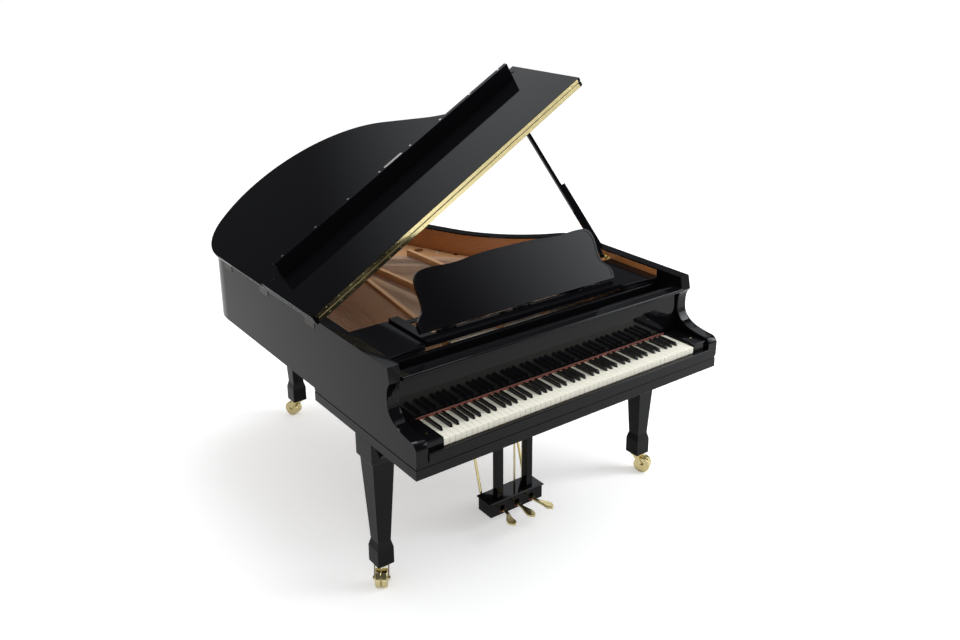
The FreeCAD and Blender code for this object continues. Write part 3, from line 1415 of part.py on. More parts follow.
def prop_axis():
    """The skewed axis that carries the prop from raised to stored in one turn."""
    raised, stored = raised_direction(), stored_direction()
    middle = (raised + stored).normalize()
    side = raised.cross(stored).normalize()
    tilt = math.radians(PROP_AXIS_TILT)
    return middle * math.cos(tilt) + side * math.sin(tilt)


def prop_turn():
    """The turn about the axis, in degrees, from raised to stored."""
    axis = prop_axis()
    raised, stored = raised_direction(), stored_direction()
    a = raised - axis * raised.dot(axis)
    b = stored - axis * stored.dot(axis)
    return math.degrees(math.atan2(a.cross(b).dot(axis), a.dot(b)))


def prop_outward():
    """The direction across the prop that faces away from the lid's edge."""
    raised, stored = raised_direction(), stored_direction()
    away = raised * raised.dot(stored) - stored
    return away.normalize()


def half_pin_spot():
    """The middle of the pin that joins the short prop to the long one."""
    return PROP_PIVOT + raised_direction() * HALF_PIN_AT + prop_outward() * (PROP_WIDTH + HALF_GAP)


def lid_prop():
    """The long prop: a ball eye, a straight stick and a rounded tip."""
    along, out = raised_direction(), prop_outward()
    length = (prop_tip() - PROP_PIVOT).Length
    half = PROP_WIDTH / 2
    stick = aligned_bar(PROP_PIVOT, along, out, [(PROP_START, length), (-half, half), (-half, half)])
    eye = Part.makeSphere(PROP_EYE_RADIUS, PROP_PIVOT)
    tip = Part.makeSphere(PROP_TIP_RADIUS, prop_tip())
    side = along.cross(out)
    spot = half_pin_spot()
    ear = HALF_CHEEK_LONG / 2
    cheek = aligned_bar(spot + side * (half - HALF_CHEEK), along, out,
                        [(-ear, ear), (-PROP_WIDTH - half, half), (0, HALF_CHEEK)])
    pin = rod(spot - side * HALF_CHEEK, spot + side * half, HALF_PIN_RADIUS)
    body = fused([stick, eye, tip, cheek, pin])
    axis = prop_axis()
    bore = rod(PROP_PIVOT - axis * 30, PROP_PIVOT + axis * (PROP_PIN_REACH + 0.5),
               PROP_PIN_RADIUS + SHAFT_PLAY)
    return body.cut(bore)


def half_prop():
    """The short prop folded against the long one, round at its pin."""
    along, out = raised_direction(), prop_outward()
    side = along.cross(out)
    half = PROP_WIDTH / 2
    top = half - HALF_CHEEK - HALF_CHEEK_PLAY
    spot = half_pin_spot()
    stick = aligned_bar(spot, along, out, [(0, HALF_LENGTH), (-half, half), (-half, top)])
    end = rod(spot - side * half, spot + side * top, half)
    bore = rod(spot - side * PROP_WIDTH, spot + side * PROP_WIDTH, HALF_PIN_RADIUS + SHAFT_PLAY)
    return fused([stick, end]).cut(bore)


def cheek_screw(x):
    """A slotted screw head on top of a cheek block."""
    y, top, reach = CHEEK_SCREW_Y, CHEEK_BLOCK_TOP, CHEEK_SCREW_RADIUS + 1
    head = post(x, y, top, top + CHEEK_SCREW_HEIGHT, CHEEK_SCREW_RADIUS)
    slot = box(x - reach, x + reach, y - CHEEK_SLOT_HALF, y + CHEEK_SLOT_HALF,
               top + CHEEK_SCREW_HEIGHT / 2, top + 2 * CHEEK_SCREW_HEIGHT)
    return head.cut(slot)


def case_fittings():
    """The prop's bracket with its pin and screws, and the screws in the cheek blocks."""
    axis = prop_axis()
    wall = CASE_INSIDE - LINING_THICK
    toward = axis * -1
    reach = (wall - 1 - PROP_PIVOT.x) / toward.x
    foot = PROP_PIVOT + toward * reach
    thick = BRACKET_THICKNESS
    long, tall = BRACKET_HALF
    base = box(wall - thick, wall, foot.y - long, foot.y + long, foot.z - tall, foot.z + tall)
    pin = rod(foot, PROP_PIVOT + axis * PROP_PIN_REACH, PROP_PIN_RADIUS)
    boss = rod(foot, PROP_PIVOT + toward * (PROP_EYE_RADIUS + 1), PROP_PIN_RADIUS + 3)
    beyond = box(wall, wall + 2 * long, foot.y - 2 * long, foot.y + 2 * long,
                 foot.z - 2 * long, foot.z + 2 * long)
    bracket = cut(fused([base, pin, boss]), [beyond])
    shapes = [bracket]
    for side in (-1, 1):
        spot = V(wall - thick, foot.y + side * BRACKET_SCREW_AT, foot.z)
        shapes.append(Part.makeCylinder(BRACKET_SCREW[0], BRACKET_SCREW[1], spot, V(-1, 0, 0)))
    for x in (CHEEK_BLOCK_LEFT - CHEEK_SCREW_INSET, CHEEK_BLOCK_RIGHT + CHEEK_SCREW_INSET):
        shapes.append(cheek_screw(x))
    return together(shapes)


# Legs and casters

def square_at(x, y, z, half):
    """A square wire seen from above."""
    corners = [V(x - half, y - half, z), V(x + half, y - half, z),
               V(x + half, y + half, z), V(x - half, y + half, z)]
    return Part.makePolygon(corners + corners[:1])


def wing(x, y, top, way, reach):
    """A hollow-edged bracket beside a leg's block; way is +1 behind and -1 in front."""
    near = y + way * (LEG_BLOCK_HALF - 1)
    far = near + way * reach
    foot = top - LEG_BLOCK_DROP + 4
    lip = top - WING_LIP
    half = WING_THICK / 2
    corner = V(x - half, near, top)
    tip_top = V(x - half, far, top)
    arch = [V(x - half, near + way * reach * a, foot + (lip - foot) * b) for a, b in WING_SHAPE]
    edges = [straight(corner, tip_top), straight(tip_top, arch[-1]), curve(arch),
             straight(arch[0], corner)]
    return face_from(edges).extrude(V(WING_THICK, 0, 0))


def one_leg(name):
    """A square tapered leg with a block, wings, a flared foot and a bore for its caster."""
    x, y = LEG_CENTRES[name]
    top = LEG_TOPS[name]
    block_low = top - LEG_BLOCK_DROP
    shoulder = block_low - LEG_SHOULDER_DROP
    block = box(x - LEG_BLOCK_HALF, x + LEG_BLOCK_HALF, y - LEG_BLOCK_HALF, y + LEG_BLOCK_HALF,
                block_low, top)
    collar = Part.makeLoft([square_at(x, y, shoulder, LEG_SHOULDER_HALF),
                            square_at(x, y, block_low, LEG_BLOCK_HALF)], True, True)
    taper = Part.makeLoft([square_at(x, y, LEG_NECK_Z, LEG_NECK_HALF),
                           square_at(x, y, shoulder, LEG_SHOULDER_HALF)], True, True)
    flare = Part.makeLoft([square_at(x, y, LEG_FOOT_TOP, LEG_FOOT_HALF),
                           square_at(x, y, LEG_NECK_Z, LEG_NECK_HALF)], True, True)
    foot = box(x - LEG_FOOT_HALF, x + LEG_FOOT_HALF, y - LEG_FOOT_HALF, y + LEG_FOOT_HALF,
               LEG_FOOT_BOTTOM, LEG_FOOT_TOP)
    front_reach, back_reach = WING_REACH[name]
    wings = [wing(x, y, top, -1, front_reach), wing(x, y, top, 1, back_reach)]
    leg = fused([block, collar, taper, flare, foot] + wings)
    return leg.cut(post(x, y, LEG_FOOT_BOTTOM - 1, STEM_TOP + 1, STEM_RADIUS + SHAFT_PLAY))


def legs():
    """The two front legs and the back leg."""
    return together([one_leg(name) for name in LEG_CENTRES])


def place_caster(shape, name):
    """Turn a caster drawn trailing along x to its place under a leg."""
    trail = CASTER_TRAILS[name]
    shape.rotate(V(0, 0, 0), V(0, 0, 1), math.degrees(math.atan2(trail[1], trail[0])))
    x, y = LEG_CENTRES[name]
    shape.translate(V(x, y, 0))
    return shape


def caster_fork(name):
    """The caster's stem, disc, two side plates and axle."""
    disc = post(0, 0, FORK_TOP[0], FORK_TOP[1], FORK_DISC_RADIUS)
    stem = post(0, 0, FORK_TOP[0], STEM_TOP, STEM_RADIUS)
    pieces = [disc, stem]
    for side in (-1, 1):
        low, high = sorted((side * FORK_PLATE[0], side * FORK_PLATE[1]))
        top = FORK_TOP[0] + FORK_BRIDGE - 1
        corners = [(FORK_ROOT[0], top), (FORK_ROOT[1], top),
                   (CASTER_TRAIL + FORK_CHEEK_HALF, WHEEL_RADIUS),
                   (CASTER_TRAIL - FORK_CHEEK_HALF, WHEEL_RADIUS - 4)]
        points = [V(x, low, z) for x, z in corners]
        face = Part.Face(Part.makePolygon(points + points[:1]))
        pieces.append(face.extrude(V(0, high - low, 0)))
        pieces.append(rod(V(CASTER_TRAIL, low, WHEEL_RADIUS), V(CASTER_TRAIL, high, WHEEL_RADIUS),
                          FORK_CAP_RADIUS))
        end = side * AXLE_HALF
        pieces.append(rod(V(CASTER_TRAIL, side * FORK_PLATE[1], WHEEL_RADIUS),
                          V(CASTER_TRAIL, end, WHEEL_RADIUS), FORK_CAP_RADIUS - 2))
    pieces.append(rod(V(CASTER_TRAIL, -FORK_PLATE[1], WHEEL_RADIUS),
                      V(CASTER_TRAIL, FORK_PLATE[1], WHEEL_RADIUS), AXLE_RADIUS))
    pieces.append(box(FORK_ROOT[0], FORK_ROOT[1], -FORK_PLATE[1], FORK_PLATE[1],
                      FORK_TOP[0], FORK_TOP[0] + FORK_BRIDGE))
    return place_caster(fused(pieces), name)


def caster_wheels(name):
    """The pair of brass wheels joined by a hub."""
    pieces = []
    for side in (-1, 1):
        near, far = side * WHEEL_SPACE, side * (WHEEL_SPACE + WHEEL_WIDTH)
        disc = rod(V(CASTER_TRAIL, near, WHEEL_RADIUS), V(CASTER_TRAIL, far, WHEEL_RADIUS),
                   WHEEL_RADIUS)
        disc = disc.makeFillet(WHEEL_ROUND, [e for e in disc.Edges if len(e.Vertexes) == 1])
        pieces.append(disc)
    pieces.append(rod(V(CASTER_TRAIL, -WHEEL_SPACE - 1, WHEEL_RADIUS),
                      V(CASTER_TRAIL, WHEEL_SPACE + 1, WHEEL_RADIUS), WHEEL_HUB_RADIUS))
    wheels = fused(pieces)
    bore = rod(V(CASTER_TRAIL, -AXLE_HALF, WHEEL_RADIUS), V(CASTER_TRAIL, AXLE_HALF, WHEEL_RADIUS),
               AXLE_RADIUS + SHAFT_PLAY)
    return place_caster(wheels.cut(bore), name)


# Lyre and pedals

def lyre():
    """The pedal box on its two posts, hollow inside, with the pedals' cross pin."""
    x_low, x_high = LYRE_X
    y_low, y_high = LYRE_Y
    z_low, z_high = LYRE_Z
    wall = LYRE_WALL
    mould = LYRE_MOULD
    outer = box(x_low, x_high, y_low, y_high, z_low, z_high)
    rim = box(x_low - mould, x_high + mould, y_low - mould, y_high + mould,
              LYRE_MOULD_Z[0], LYRE_MOULD_Z[1])
    top_edges = [e for e in rim.Edges if e.BoundBox.ZMin > LYRE_MOULD_Z[1] - 0.1]
    rim = rim.makeChamfer(LYRE_MOULD - 1, top_edges)
    low_edges = [e for e in rim.Edges if e.BoundBox.ZMax < LYRE_MOULD_Z[0] + 0.1]
    rim = rim.makeChamfer(LYRE_MOULD - 1, low_edges)
    hollow = box(x_low + wall, x_high - wall, y_low + wall, y_high - wall,
                 z_low + wall - 1, z_high - wall)
    tools = [hollow]
    for name in PEDAL_NAMES:
        x = PEDAL_SLOT_X[name]
        tools.append(box(x - PEDAL_SLOT_HALF, x + PEDAL_SLOT_HALF, y_low - mould - 1,
                         y_low + wall + 1, PEDAL_SLOT_Z[0], PEDAL_SLOT_Z[1]))
        tools.append(post(PEDAL_ROD_X[name], ROD_Y, z_high - wall - 1, z_high + 1,
                          ROD_RADIUS + ROD_HOLE_PLAY))
    shell = cut(fused([outer, rim]), tools)
    pin = cross_rod(x_low + wall - 2, x_high - wall + 2, PEDAL_PIVOT[0], PEDAL_PIVOT[1],
                    PEDAL_PIN_RADIUS)
    posts = []
    for x in POST_X:
        half = POST_WIDTH / 2
        posts.append(box(x - half, x + half, POST_Y[0], POST_Y[1], z_high - 1, BED_BOTTOM))
    return fused([shell, pin] + posts)


def lyre_braces():
    """Two slanting rods from the back of the pedal box to the keybed, with end pads."""
    rods = []
    for x in BRACE_X:
        foot = V(x, BRACE_FOOT[0], BRACE_FOOT[1])
        head = V(x, BRACE_HEAD[0], BRACE_HEAD[1])
        along = (head - foot).normalize()
        shaft = rod(foot - along * BRACE_LAP, head + along * BRACE_LAP, BRACE_RADIUS)
        pad_z = BRACE_FOOT[1] - 8
        low_pad = rod(V(x, LYRE_Y[1], pad_z), V(x, LYRE_Y[1] + BRACE_PAD + 1, pad_z), BRACE_PAD_RADIUS)
        high_pad = post(x, BRACE_HEAD[0] + 3, BED_BOTTOM - BRACE_PAD, BED_BOTTOM, BRACE_PAD_RADIUS)
        low_x, high_x = x - BRACE_ROOM, x + BRACE_ROOM
        room = box(low_x, high_x, LYRE_Y[0], LYRE_Y[1], LYRE_Z[0], LYRE_Z[1] + BRACE_ROOM)
        lip = box(low_x, high_x, LYRE_Y[0], LYRE_Y[1] + LYRE_MOULD + BRACE_PLAY,
                  LYRE_MOULD_Z[0] - BRACE_PLAY, LYRE_MOULD_Z[1] + BRACE_PLAY)
        above = box(low_x, high_x, BRACE_HEAD[0] - 2 * BRACE_ROOM, BRACE_HEAD[0] + 2 * BRACE_ROOM,
                    BED_BOTTOM, RIM_BOTTOM)
        rods.append(cut(fused([shaft, low_pad, high_pad]), [room, lip, above]))
    return together(rods)


def pedal(name):
    """One pedal: a spoon, a neck through the slot, and a tail under its rod."""
    x = PEDAL_SLOT_X[name]
    tip_x = PEDAL_TIP_X[name]
    rod_x = PEDAL_ROD_X[name]
    low, high = PEDAL_Z
    neck = PEDAL_NECK_HALF
    spoon = PEDAL_SPOON_HALF
    z = low
    shift = tip_x - x
    root_y = PEDAL_NECK_Y + PEDAL_NECK_LONG
    sides = []
    for way in (-1, 1):
        sides.append([V(x + way * neck, root_y, z), V(x + way * neck + shift * 0.2, PEDAL_NECK_Y, z),
                      V(tip_x + way * spoon, PEDAL_TIP_Y + PEDAL_SPOON_BACK, z),
                      V(tip_x + way * spoon * 0.8, PEDAL_TIP_Y + PEDAL_SPOON_FRONT, z),
                      V(tip_x, PEDAL_TIP_Y, z)])
    left, right = sides
    outline = curve(left + right[::-1][1:])
    face = face_from([outline, straight(left[0], right[0])])
    blade = face.extrude(V(0, 0, high - low))
    rounded = [e for e in blade.Edges if e.BoundBox.ZMin > high - 0.1 and e.Length > PEDAL_NECK_LONG]
    blade = blade.makeFillet(PEDAL_ROUND, rounded)
    neck_bar = box(x - neck, x + neck, root_y - 0.5, ROD_Y - PEDAL_TAIL_LAP + 1, low, high)
    tail_low, tail_high = min(x, rod_x) - neck, max(x, rod_x) + neck
    tail = box(tail_low, tail_high, ROD_Y - PEDAL_TAIL_LAP, PEDAL_TAIL_BACK, low, high)
    body = fused([blade, neck_bar, tail])
    return body.cut(cross_rod(LYRE_X[0], LYRE_X[1], PEDAL_PIVOT[0], PEDAL_PIVOT[1],
                              PEDAL_PIN_RADIUS + SHAFT_PLAY))


def pedal_rod(name):
    """The upright rod from a pedal's tail through the keybed."""
    upright = post(PEDAL_ROD_X[name], ROD_Y, ROD_BOTTOM, ROD_TOP, ROD_RADIUS)
    foot = [e for e in upright.Edges if e.BoundBox.ZMax < ROD_BOTTOM + 0.1]
    return upright.makeChamfer(ROD_END_CHAMFER, foot)


def all_nodes():
    """Every file's name with its shape, still in drawing coordinates."""
    nodes = {
        "outer_rim": outer_rim(), "rim_lining": rim_lining(), "inner_frame": inner_frame(),
        "keybed": keybed(), "soundboard": soundboard(), "plate": plate(),
        "tuning_pins": tuning_pins(), "plain_strings": plain_strings(),
        "wound_strings": wound_strings(), "damper_set": damper_set(),
        "action_frame": action_frame(), "hammers": hammers(), "key_frame": key_frame(),
        "sostenuto_rail": sostenuto_rail(), "key_slip": key_slip(),
        "cheek_blocks": cheek_blocks(), "fallboard": fallboard(), "felt_strips": felt_strips(),
        "stretcher": stretcher(), "desk_shelves": desk_shelves(), "desk_frame": desk_frame(),
        "music_desk": music_desk(), "desk_stay": desk_stay(), "main_lid": main_lid(),
        "front_lid": front_lid(), "front_rail": front_rail(), "rail_hardware": rail_hardware(),
        "rim_hinges": rim_hinges(), "lid_hinges": lid_hinges(), "flap_hinge": flap_hinge(),
        "lid_prop": lid_prop(), "half_prop": half_prop(), "case_fittings": case_fittings(),
        "legs": legs(), "lyre": lyre(), "lyre_braces": lyre_braces(),
    }
    for pitch in PITCHES:
        nodes["keys_" + pitch] = key_group(pitch)
    for name in LEG_CENTRES:
        nodes["caster_fork_" + name] = caster_fork(name)
        nodes["caster_wheels_" + name] = caster_wheels(name)
    for name in PEDAL_NAMES:
        nodes["pedal_" + name] = pedal(name)
        nodes["pedal_rod_" + name] = pedal_rod(name)
    return nodes


def base_centre(nodes):
    """The middle of the overall box's base."""
    whole = FreeCAD.BoundBox()
    for shape in nodes.values():
        whole.add(shape.optimalBoundingBox(False, False))
    return V(whole.Center.x, whole.Center.y, whole.ZMin)


def main():
    """Build every node, move the origin and write the files."""
    os.makedirs("parts", exist_ok=True)
    nodes = all_nodes()
    centre = base_centre(nodes)
    for name, shape in nodes.items():
        shape.translate(centre * -1)
        shape.exportStep("parts/" + name + ".step")
    print("origin in drawing coordinates", centre.x, centre.y, centre.z)
    print("files", len(nodes))


if __name__ == "__main__":
    main()
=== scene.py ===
"""Finishes, small fittings and studio of a black grand piano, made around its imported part."""

import math

import bmesh
import bpy
from bpy.props import FloatProperty, FloatVectorProperty, IntProperty, PointerProperty
from mathutils import Matrix, Vector, noise


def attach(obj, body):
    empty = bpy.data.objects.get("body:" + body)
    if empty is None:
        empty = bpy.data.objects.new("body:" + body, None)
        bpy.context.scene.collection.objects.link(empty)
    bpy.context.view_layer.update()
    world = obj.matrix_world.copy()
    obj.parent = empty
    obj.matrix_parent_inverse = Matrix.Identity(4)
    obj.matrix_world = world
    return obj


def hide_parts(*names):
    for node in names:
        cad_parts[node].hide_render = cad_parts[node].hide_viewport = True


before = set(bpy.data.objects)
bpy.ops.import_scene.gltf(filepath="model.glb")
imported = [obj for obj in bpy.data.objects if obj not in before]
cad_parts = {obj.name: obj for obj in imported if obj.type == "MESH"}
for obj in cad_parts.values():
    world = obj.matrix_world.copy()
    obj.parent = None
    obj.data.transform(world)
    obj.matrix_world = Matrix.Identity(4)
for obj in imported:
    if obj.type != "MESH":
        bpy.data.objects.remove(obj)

bl_info = {
    "name": "Black Grand Piano",
    "version": (1, 0, 0),
    "blender": (4, 5, 0),
    "location": "View3D > Sidebar > Grand Piano",
    "description": "Finishes and small fittings for a grand piano, and its studio",
    "category": "Object",
}

# Places on the piano, in metres, measured from the middle of its base

DRAWING_CENTRE = Vector((-0.016761, 0.940484, 0.0))
LID_TURN = math.radians(30.08)
LID_AXIS = Vector((-0.741, 0.0, 0.9885)) - DRAWING_CENTRE
FOLD_Z = 1.0104
LEAF_FACE = 0.6264
LEAF_MIDDLE = 0.9985
LEAF_HALF_LENGTH = 0.736
DAMPER_Y = 0.460
GUIDE_Y = 0.370
PLATE_TOP = 0.880
PLATE_BOLTS = ((-0.655, 0.62), (-0.655, 0.78), (-0.655, 0.94), (-0.655, 1.10), (-0.655, 1.26),
               (-0.655, 1.42), (0.671, 0.43), (0.455, 1.016), (0.350, 1.146), (0.245, 1.29),
               (0.130, 1.435), (0.015, 1.56))
PIN_WIRE_PLAIN = 0.8885
PIN_WIRE_WOUND = 0.901
NOTES = 88
WOUND_NOTES = 20
WOUND_SINGLE = 10
NOTE_PITCH = 0.0129
SECTION_GAP = 0.024
SECTION_STARTS = (20, 38, 54, 71)
WOUND_LEAN = 8.0
TENOR_LEAN = -6.0
TREBLE_LEAN = 1.0
PIN_ROWS = {1: (0.320,), 2: (0.308, 0.334), 3: (0.300, 0.320, 0.340)}
STRING_STEPS = {1: (0.0,), 2: (-0.003, 0.003), 3: (-0.004, 0.0, 0.004)}
BRIDGE_TOP = 0.8874
BRIDGE_LINE = ((0.640, 0.512), (0.600, 0.590), (0.500, 0.740), (0.360, 0.900),
               (0.180, 1.080), (-0.050, 1.270), (-0.290, 1.440), (-0.500, 1.520))
KEY_TOP_BACK = 0.1685
KEY_COVER_BOTTOM = 0.712
KEY_FELT_SPAN = (0.158, 0.171)
KEY_FELT_SEEN = (0.1685, 0.1772)
KEY_FELT_LEVEL = (0.74, 0.76)
HAMMER_FELT_BOTTOM = 0.8165
STRING_METALLIC = 0.5
CLOSE = 0.00001
SMOOTH_TURN = math.radians(32)

# Which finish each part of the piano takes

BLACK_PARTS = ("outer_rim", "keybed", "key_slip", "cheek_blocks", "fallboard", "stretcher",
               "desk_shelves", "desk_frame", "music_desk", "desk_stay", "main_lid", "front_lid",
               "front_rail", "lid_prop", "half_prop", "legs", "lyre")
BRASS_PARTS = ("lid_hinges", "flap_hinge", "case_fittings", "lyre_braces",
               "sostenuto_rail", "caster_fork_left", "caster_fork_right", "caster_fork_back",
               "caster_wheels_left", "caster_wheels_right", "caster_wheels_back",
               "pedal_left", "pedal_middle", "pedal_right",
               "pedal_rod_left", "pedal_rod_middle", "pedal_rod_right")
TIMBER_PARTS = ("inner_frame", "action_frame", "key_frame")
NATURAL_KEYS = ("keys_c", "keys_d", "keys_e", "keys_f", "keys_g", "keys_a", "keys_b")
SHARP_KEYS = ("keys_c_sharp", "keys_d_sharp", "keys_f_sharp", "keys_g_sharp", "keys_a_sharp")


class PianoFinishes(bpy.types.PropertyGroup):
    """Colours and edge sizes of the piano's finishes."""

    lacquer: FloatVectorProperty(
        name="Lacquer", description="Colour of the black polyester lacquer",
        subtype="COLOR", default=(0.0035, 0.0035, 0.0042), min=0.0, max=1.0)
    lacquer_edge: FloatProperty(
        name="Lacquer Edge", description="Rounding of the lacquered edges",
        subtype="DISTANCE", unit="LENGTH", default=0.0013, min=0.0002, max=0.003)
    veneer_light: FloatVectorProperty(
        name="Veneer Light", description="Light figure of the rim's inner veneer",
        subtype="COLOR", default=(0.66, 0.27, 0.085), min=0.0, max=1.0)
    veneer_dark: FloatVectorProperty(
        name="Veneer Dark", description="Dark figure of the rim's inner veneer",
        subtype="COLOR", default=(0.36, 0.125, 0.034), min=0.0, max=1.0)
    spruce_light: FloatVectorProperty(
        name="Spruce Light", description="Soft wood between the soundboard's year rings",
        subtype="COLOR", default=(0.76, 0.48, 0.24), min=0.0, max=1.0)
    spruce_dark: FloatVectorProperty(
        name="Spruce Dark", description="Year rings of the soundboard",
        subtype="COLOR", default=(0.5, 0.27, 0.11), min=0.0, max=1.0)
    plate: FloatVectorProperty(
        name="Plate", description="Bronze paint of the cast plate",
        subtype="COLOR", default=(0.68, 0.38, 0.18), min=0.0, max=1.0)
    brass: FloatVectorProperty(
        name="Brass", description="Polished brass of hinges, casters and pedals",
        subtype="COLOR", default=(0.89, 0.79, 0.43), min=0.0, max=1.0)
    copper: FloatVectorProperty(
        name="Copper", description="Copper winding of the bass strings",
        subtype="COLOR", default=(0.9, 0.5, 0.28), min=0.0, max=1.0)
    felt: FloatVectorProperty(
        name="Felt", description="Red wool felt",
        subtype="COLOR", default=(0.12, 0.008, 0.008), min=0.0, max=1.0)
    ivory: FloatVectorProperty(
        name="Ivory", description="Warm white covering of the natural keys",
        subtype="COLOR", default=(0.86, 0.84, 0.72), min=0.0, max=1.0)
    key_edge: FloatProperty(
        name="Key Edge", description="Rounding of the key tops",
        subtype="DISTANCE", unit="LENGTH", default=0.0007, min=0.0001, max=0.002)
    metal_edge: FloatProperty(
        name="Metal Edge", description="Rounding of the brass edges",
        subtype="DISTANCE", unit="LENGTH", default=0.0004, min=0.0001, max=0.002)


class PianoFittings(bpy.types.PropertyGroup):
    """Sizes of the small fittings."""

    hinge_screw_radius: FloatProperty(
        name="Hinge Screw Radius", description="Head radius of the long hinge's screws",
        subtype="DISTANCE", unit="LENGTH", default=0.0029, min=0.001, max=0.006)
    hinge_screw_pitch: FloatProperty(
        name="Hinge Screw Pitch", description="Distance between the hinge's screws",
        subtype="DISTANCE", unit="LENGTH", default=0.062, min=0.02, max=0.2)
    agraffe_height: FloatProperty(
        name="Agraffe Height", description="Height of a string guide above the plate",
        subtype="DISTANCE", unit="LENGTH", default=0.012, min=0.008, max=0.02)
    bolt_radius: FloatProperty(
        name="Plate Bolt Radius", description="Head radius of the bolts round the plate",
        subtype="DISTANCE", unit="LENGTH", default=0.0085, min=0.004, max=0.012)
    bridge_pin_pitch: FloatProperty(
        name="Bridge Pin Pitch", description="Distance between pins along the long bridge",
        subtype="DISTANCE", unit="LENGTH", default=0.0086, min=0.004, max=0.03)
    coil_turns: IntProperty(
        name="Coil Turns", description="Turns of wire round a tuning pin",
        default=3, min=2, max=5)


class PianoStudio(bpy.types.PropertyGroup):
    """The camera's place and the strength of the lamps."""

    camera_place: FloatVectorProperty(
        name="Camera Place", description="Where the camera stands",
        subtype="XYZ", unit="LENGTH", default=(-2.23893, -3.34106, 2.42284))
    camera_turn: FloatVectorProperty(
        name="Camera Turn", description="Pitch down, roll and turn to the right of the camera",
        subtype="EULER", unit="ROTATION", default=(0.3104, -0.0234, 0.5882))
    camera_lens: FloatProperty(
        name="Camera Lens", description="Focal length on a sensor 36 mm wide, in millimetres",
        default=36.6408, min=10.0, max=200.0)
    camera_shift: FloatVectorProperty(
        name="Camera Shift", description="Sideways and upward shift, as a share of the width",
        size=2, default=(0.05208, -0.09375))
    key_strength: FloatProperty(
        name="Key Strength", description="Power of the large lamp at the front right, in watts",
        default=310.0, min=0.0, max=2000.0)
    top_strength: FloatProperty(
        name="Top Strength", description="Power of the lamp above the piano, in watts",
        default=60.0, min=0.0, max=2000.0)
    room_light: FloatProperty(
        name="Room Light", description="Even light from all sides on matt surfaces",
        default=0.78, min=0.0, max=2.0)
    floor_glow: FloatProperty(
        name="Floor Glow", description="Lift of the floor towards white, seen directly or in a reflection",
        default=0.31, min=0.0, max=1.0)


def finishes():
    """The finish settings."""
    return bpy.context.scene.piano_finishes


def fittings():
    """The fitting sizes."""
    return bpy.context.scene.piano_fittings


def at(x, y, z):
    """A place given in the drawing's metres, in the frame's metres."""
    return Vector((x, y, z)) - DRAWING_CENTRE


def opened_lid():
    """The turn that carries a place on the closed lid to the open lid."""
    turn = Matrix.Rotation(-LID_TURN, 4, "Y")
    return Matrix.Translation(LID_AXIS) @ turn @ Matrix.Translation(-LID_AXIS)


# Shader helpers

def new_node(tree, kind, x, y, **settings):
    """A node at a place in its tree, with its settings."""
    node = tree.nodes.new(kind)
    node.location = (x, y)
    for name, value in settings.items():
        setattr(node, name, value)
    return node


def start_group(name, inputs, outputs):
    """An empty shader group with named sockets, and its end nodes."""
    tree = bpy.data.node_groups.new(name, "ShaderNodeTree")
    for label, kind, value in inputs:
        socket = tree.interface.new_socket(label, in_out="INPUT", socket_type=kind)
        if value is not None:
            socket.default_value = value
    for label, kind in outputs:
        tree.interface.new_socket(label, in_out="OUTPUT", socket_type=kind)
    start = new_node(tree, "NodeGroupInput", -900, 0)
    end = new_node(tree, "NodeGroupOutput", 700, 0)
    return tree, start, end


def polish_marks_group():
    """Hairline marks and a soft haze of a hand-polished surface."""
    tree, start, end = start_group(
        "Polish Marks",
        [("Vector", "NodeSocketVector", None), ("Fineness", "NodeSocketFloat", 160.0),
         ("Lowest", "NodeSocketFloat", 0.03), ("Highest", "NodeSocketFloat", 0.1)],
        [("Roughness", "NodeSocketFloat"), ("Height", "NodeSocketFloat")])
    stretch = new_node(tree, "ShaderNodeMapping", -680, 160)
    stretch.inputs["Rotation"].default_value = (0.3, 0.2, 0.7)
    stretch.inputs["Scale"].default_value = (0.06, 1.0, 1.0)
    hairs = new_node(tree, "ShaderNodeTexNoise", -460, 160)
    hairs.inputs["Detail"].default_value = 3.0
    haze = new_node(tree, "ShaderNodeTexNoise", -460, -160)
    haze.inputs["Scale"].default_value = 3.5
    haze.inputs["Detail"].default_value = 5.0
    both = new_node(tree, "ShaderNodeMath", -220, 0, operation="MULTIPLY")
    spread = new_node(tree, "ShaderNodeMapRange", 120, 60)
    spread.inputs["From Min"].default_value = 0.12
    spread.inputs["From Max"].default_value = 0.42
    link = tree.links.new
    link(start.outputs["Vector"], stretch.inputs["Vector"])
    link(stretch.outputs["Vector"], hairs.inputs["Vector"])
    link(start.outputs["Fineness"], hairs.inputs["Scale"])
    link(start.outputs["Vector"], haze.inputs["Vector"])
    link(hairs.outputs["Fac"], both.inputs[0])
    link(haze.outputs["Fac"], both.inputs[1])
    link(both.outputs["Value"], spread.inputs["Value"])
    link(start.outputs["Lowest"], spread.inputs["To Min"])
    link(start.outputs["Highest"], spread.inputs["To Max"])
    link(spread.outputs["Result"], end.inputs["Roughness"])
    link(haze.outputs["Fac"], end.inputs["Height"])
    return tree


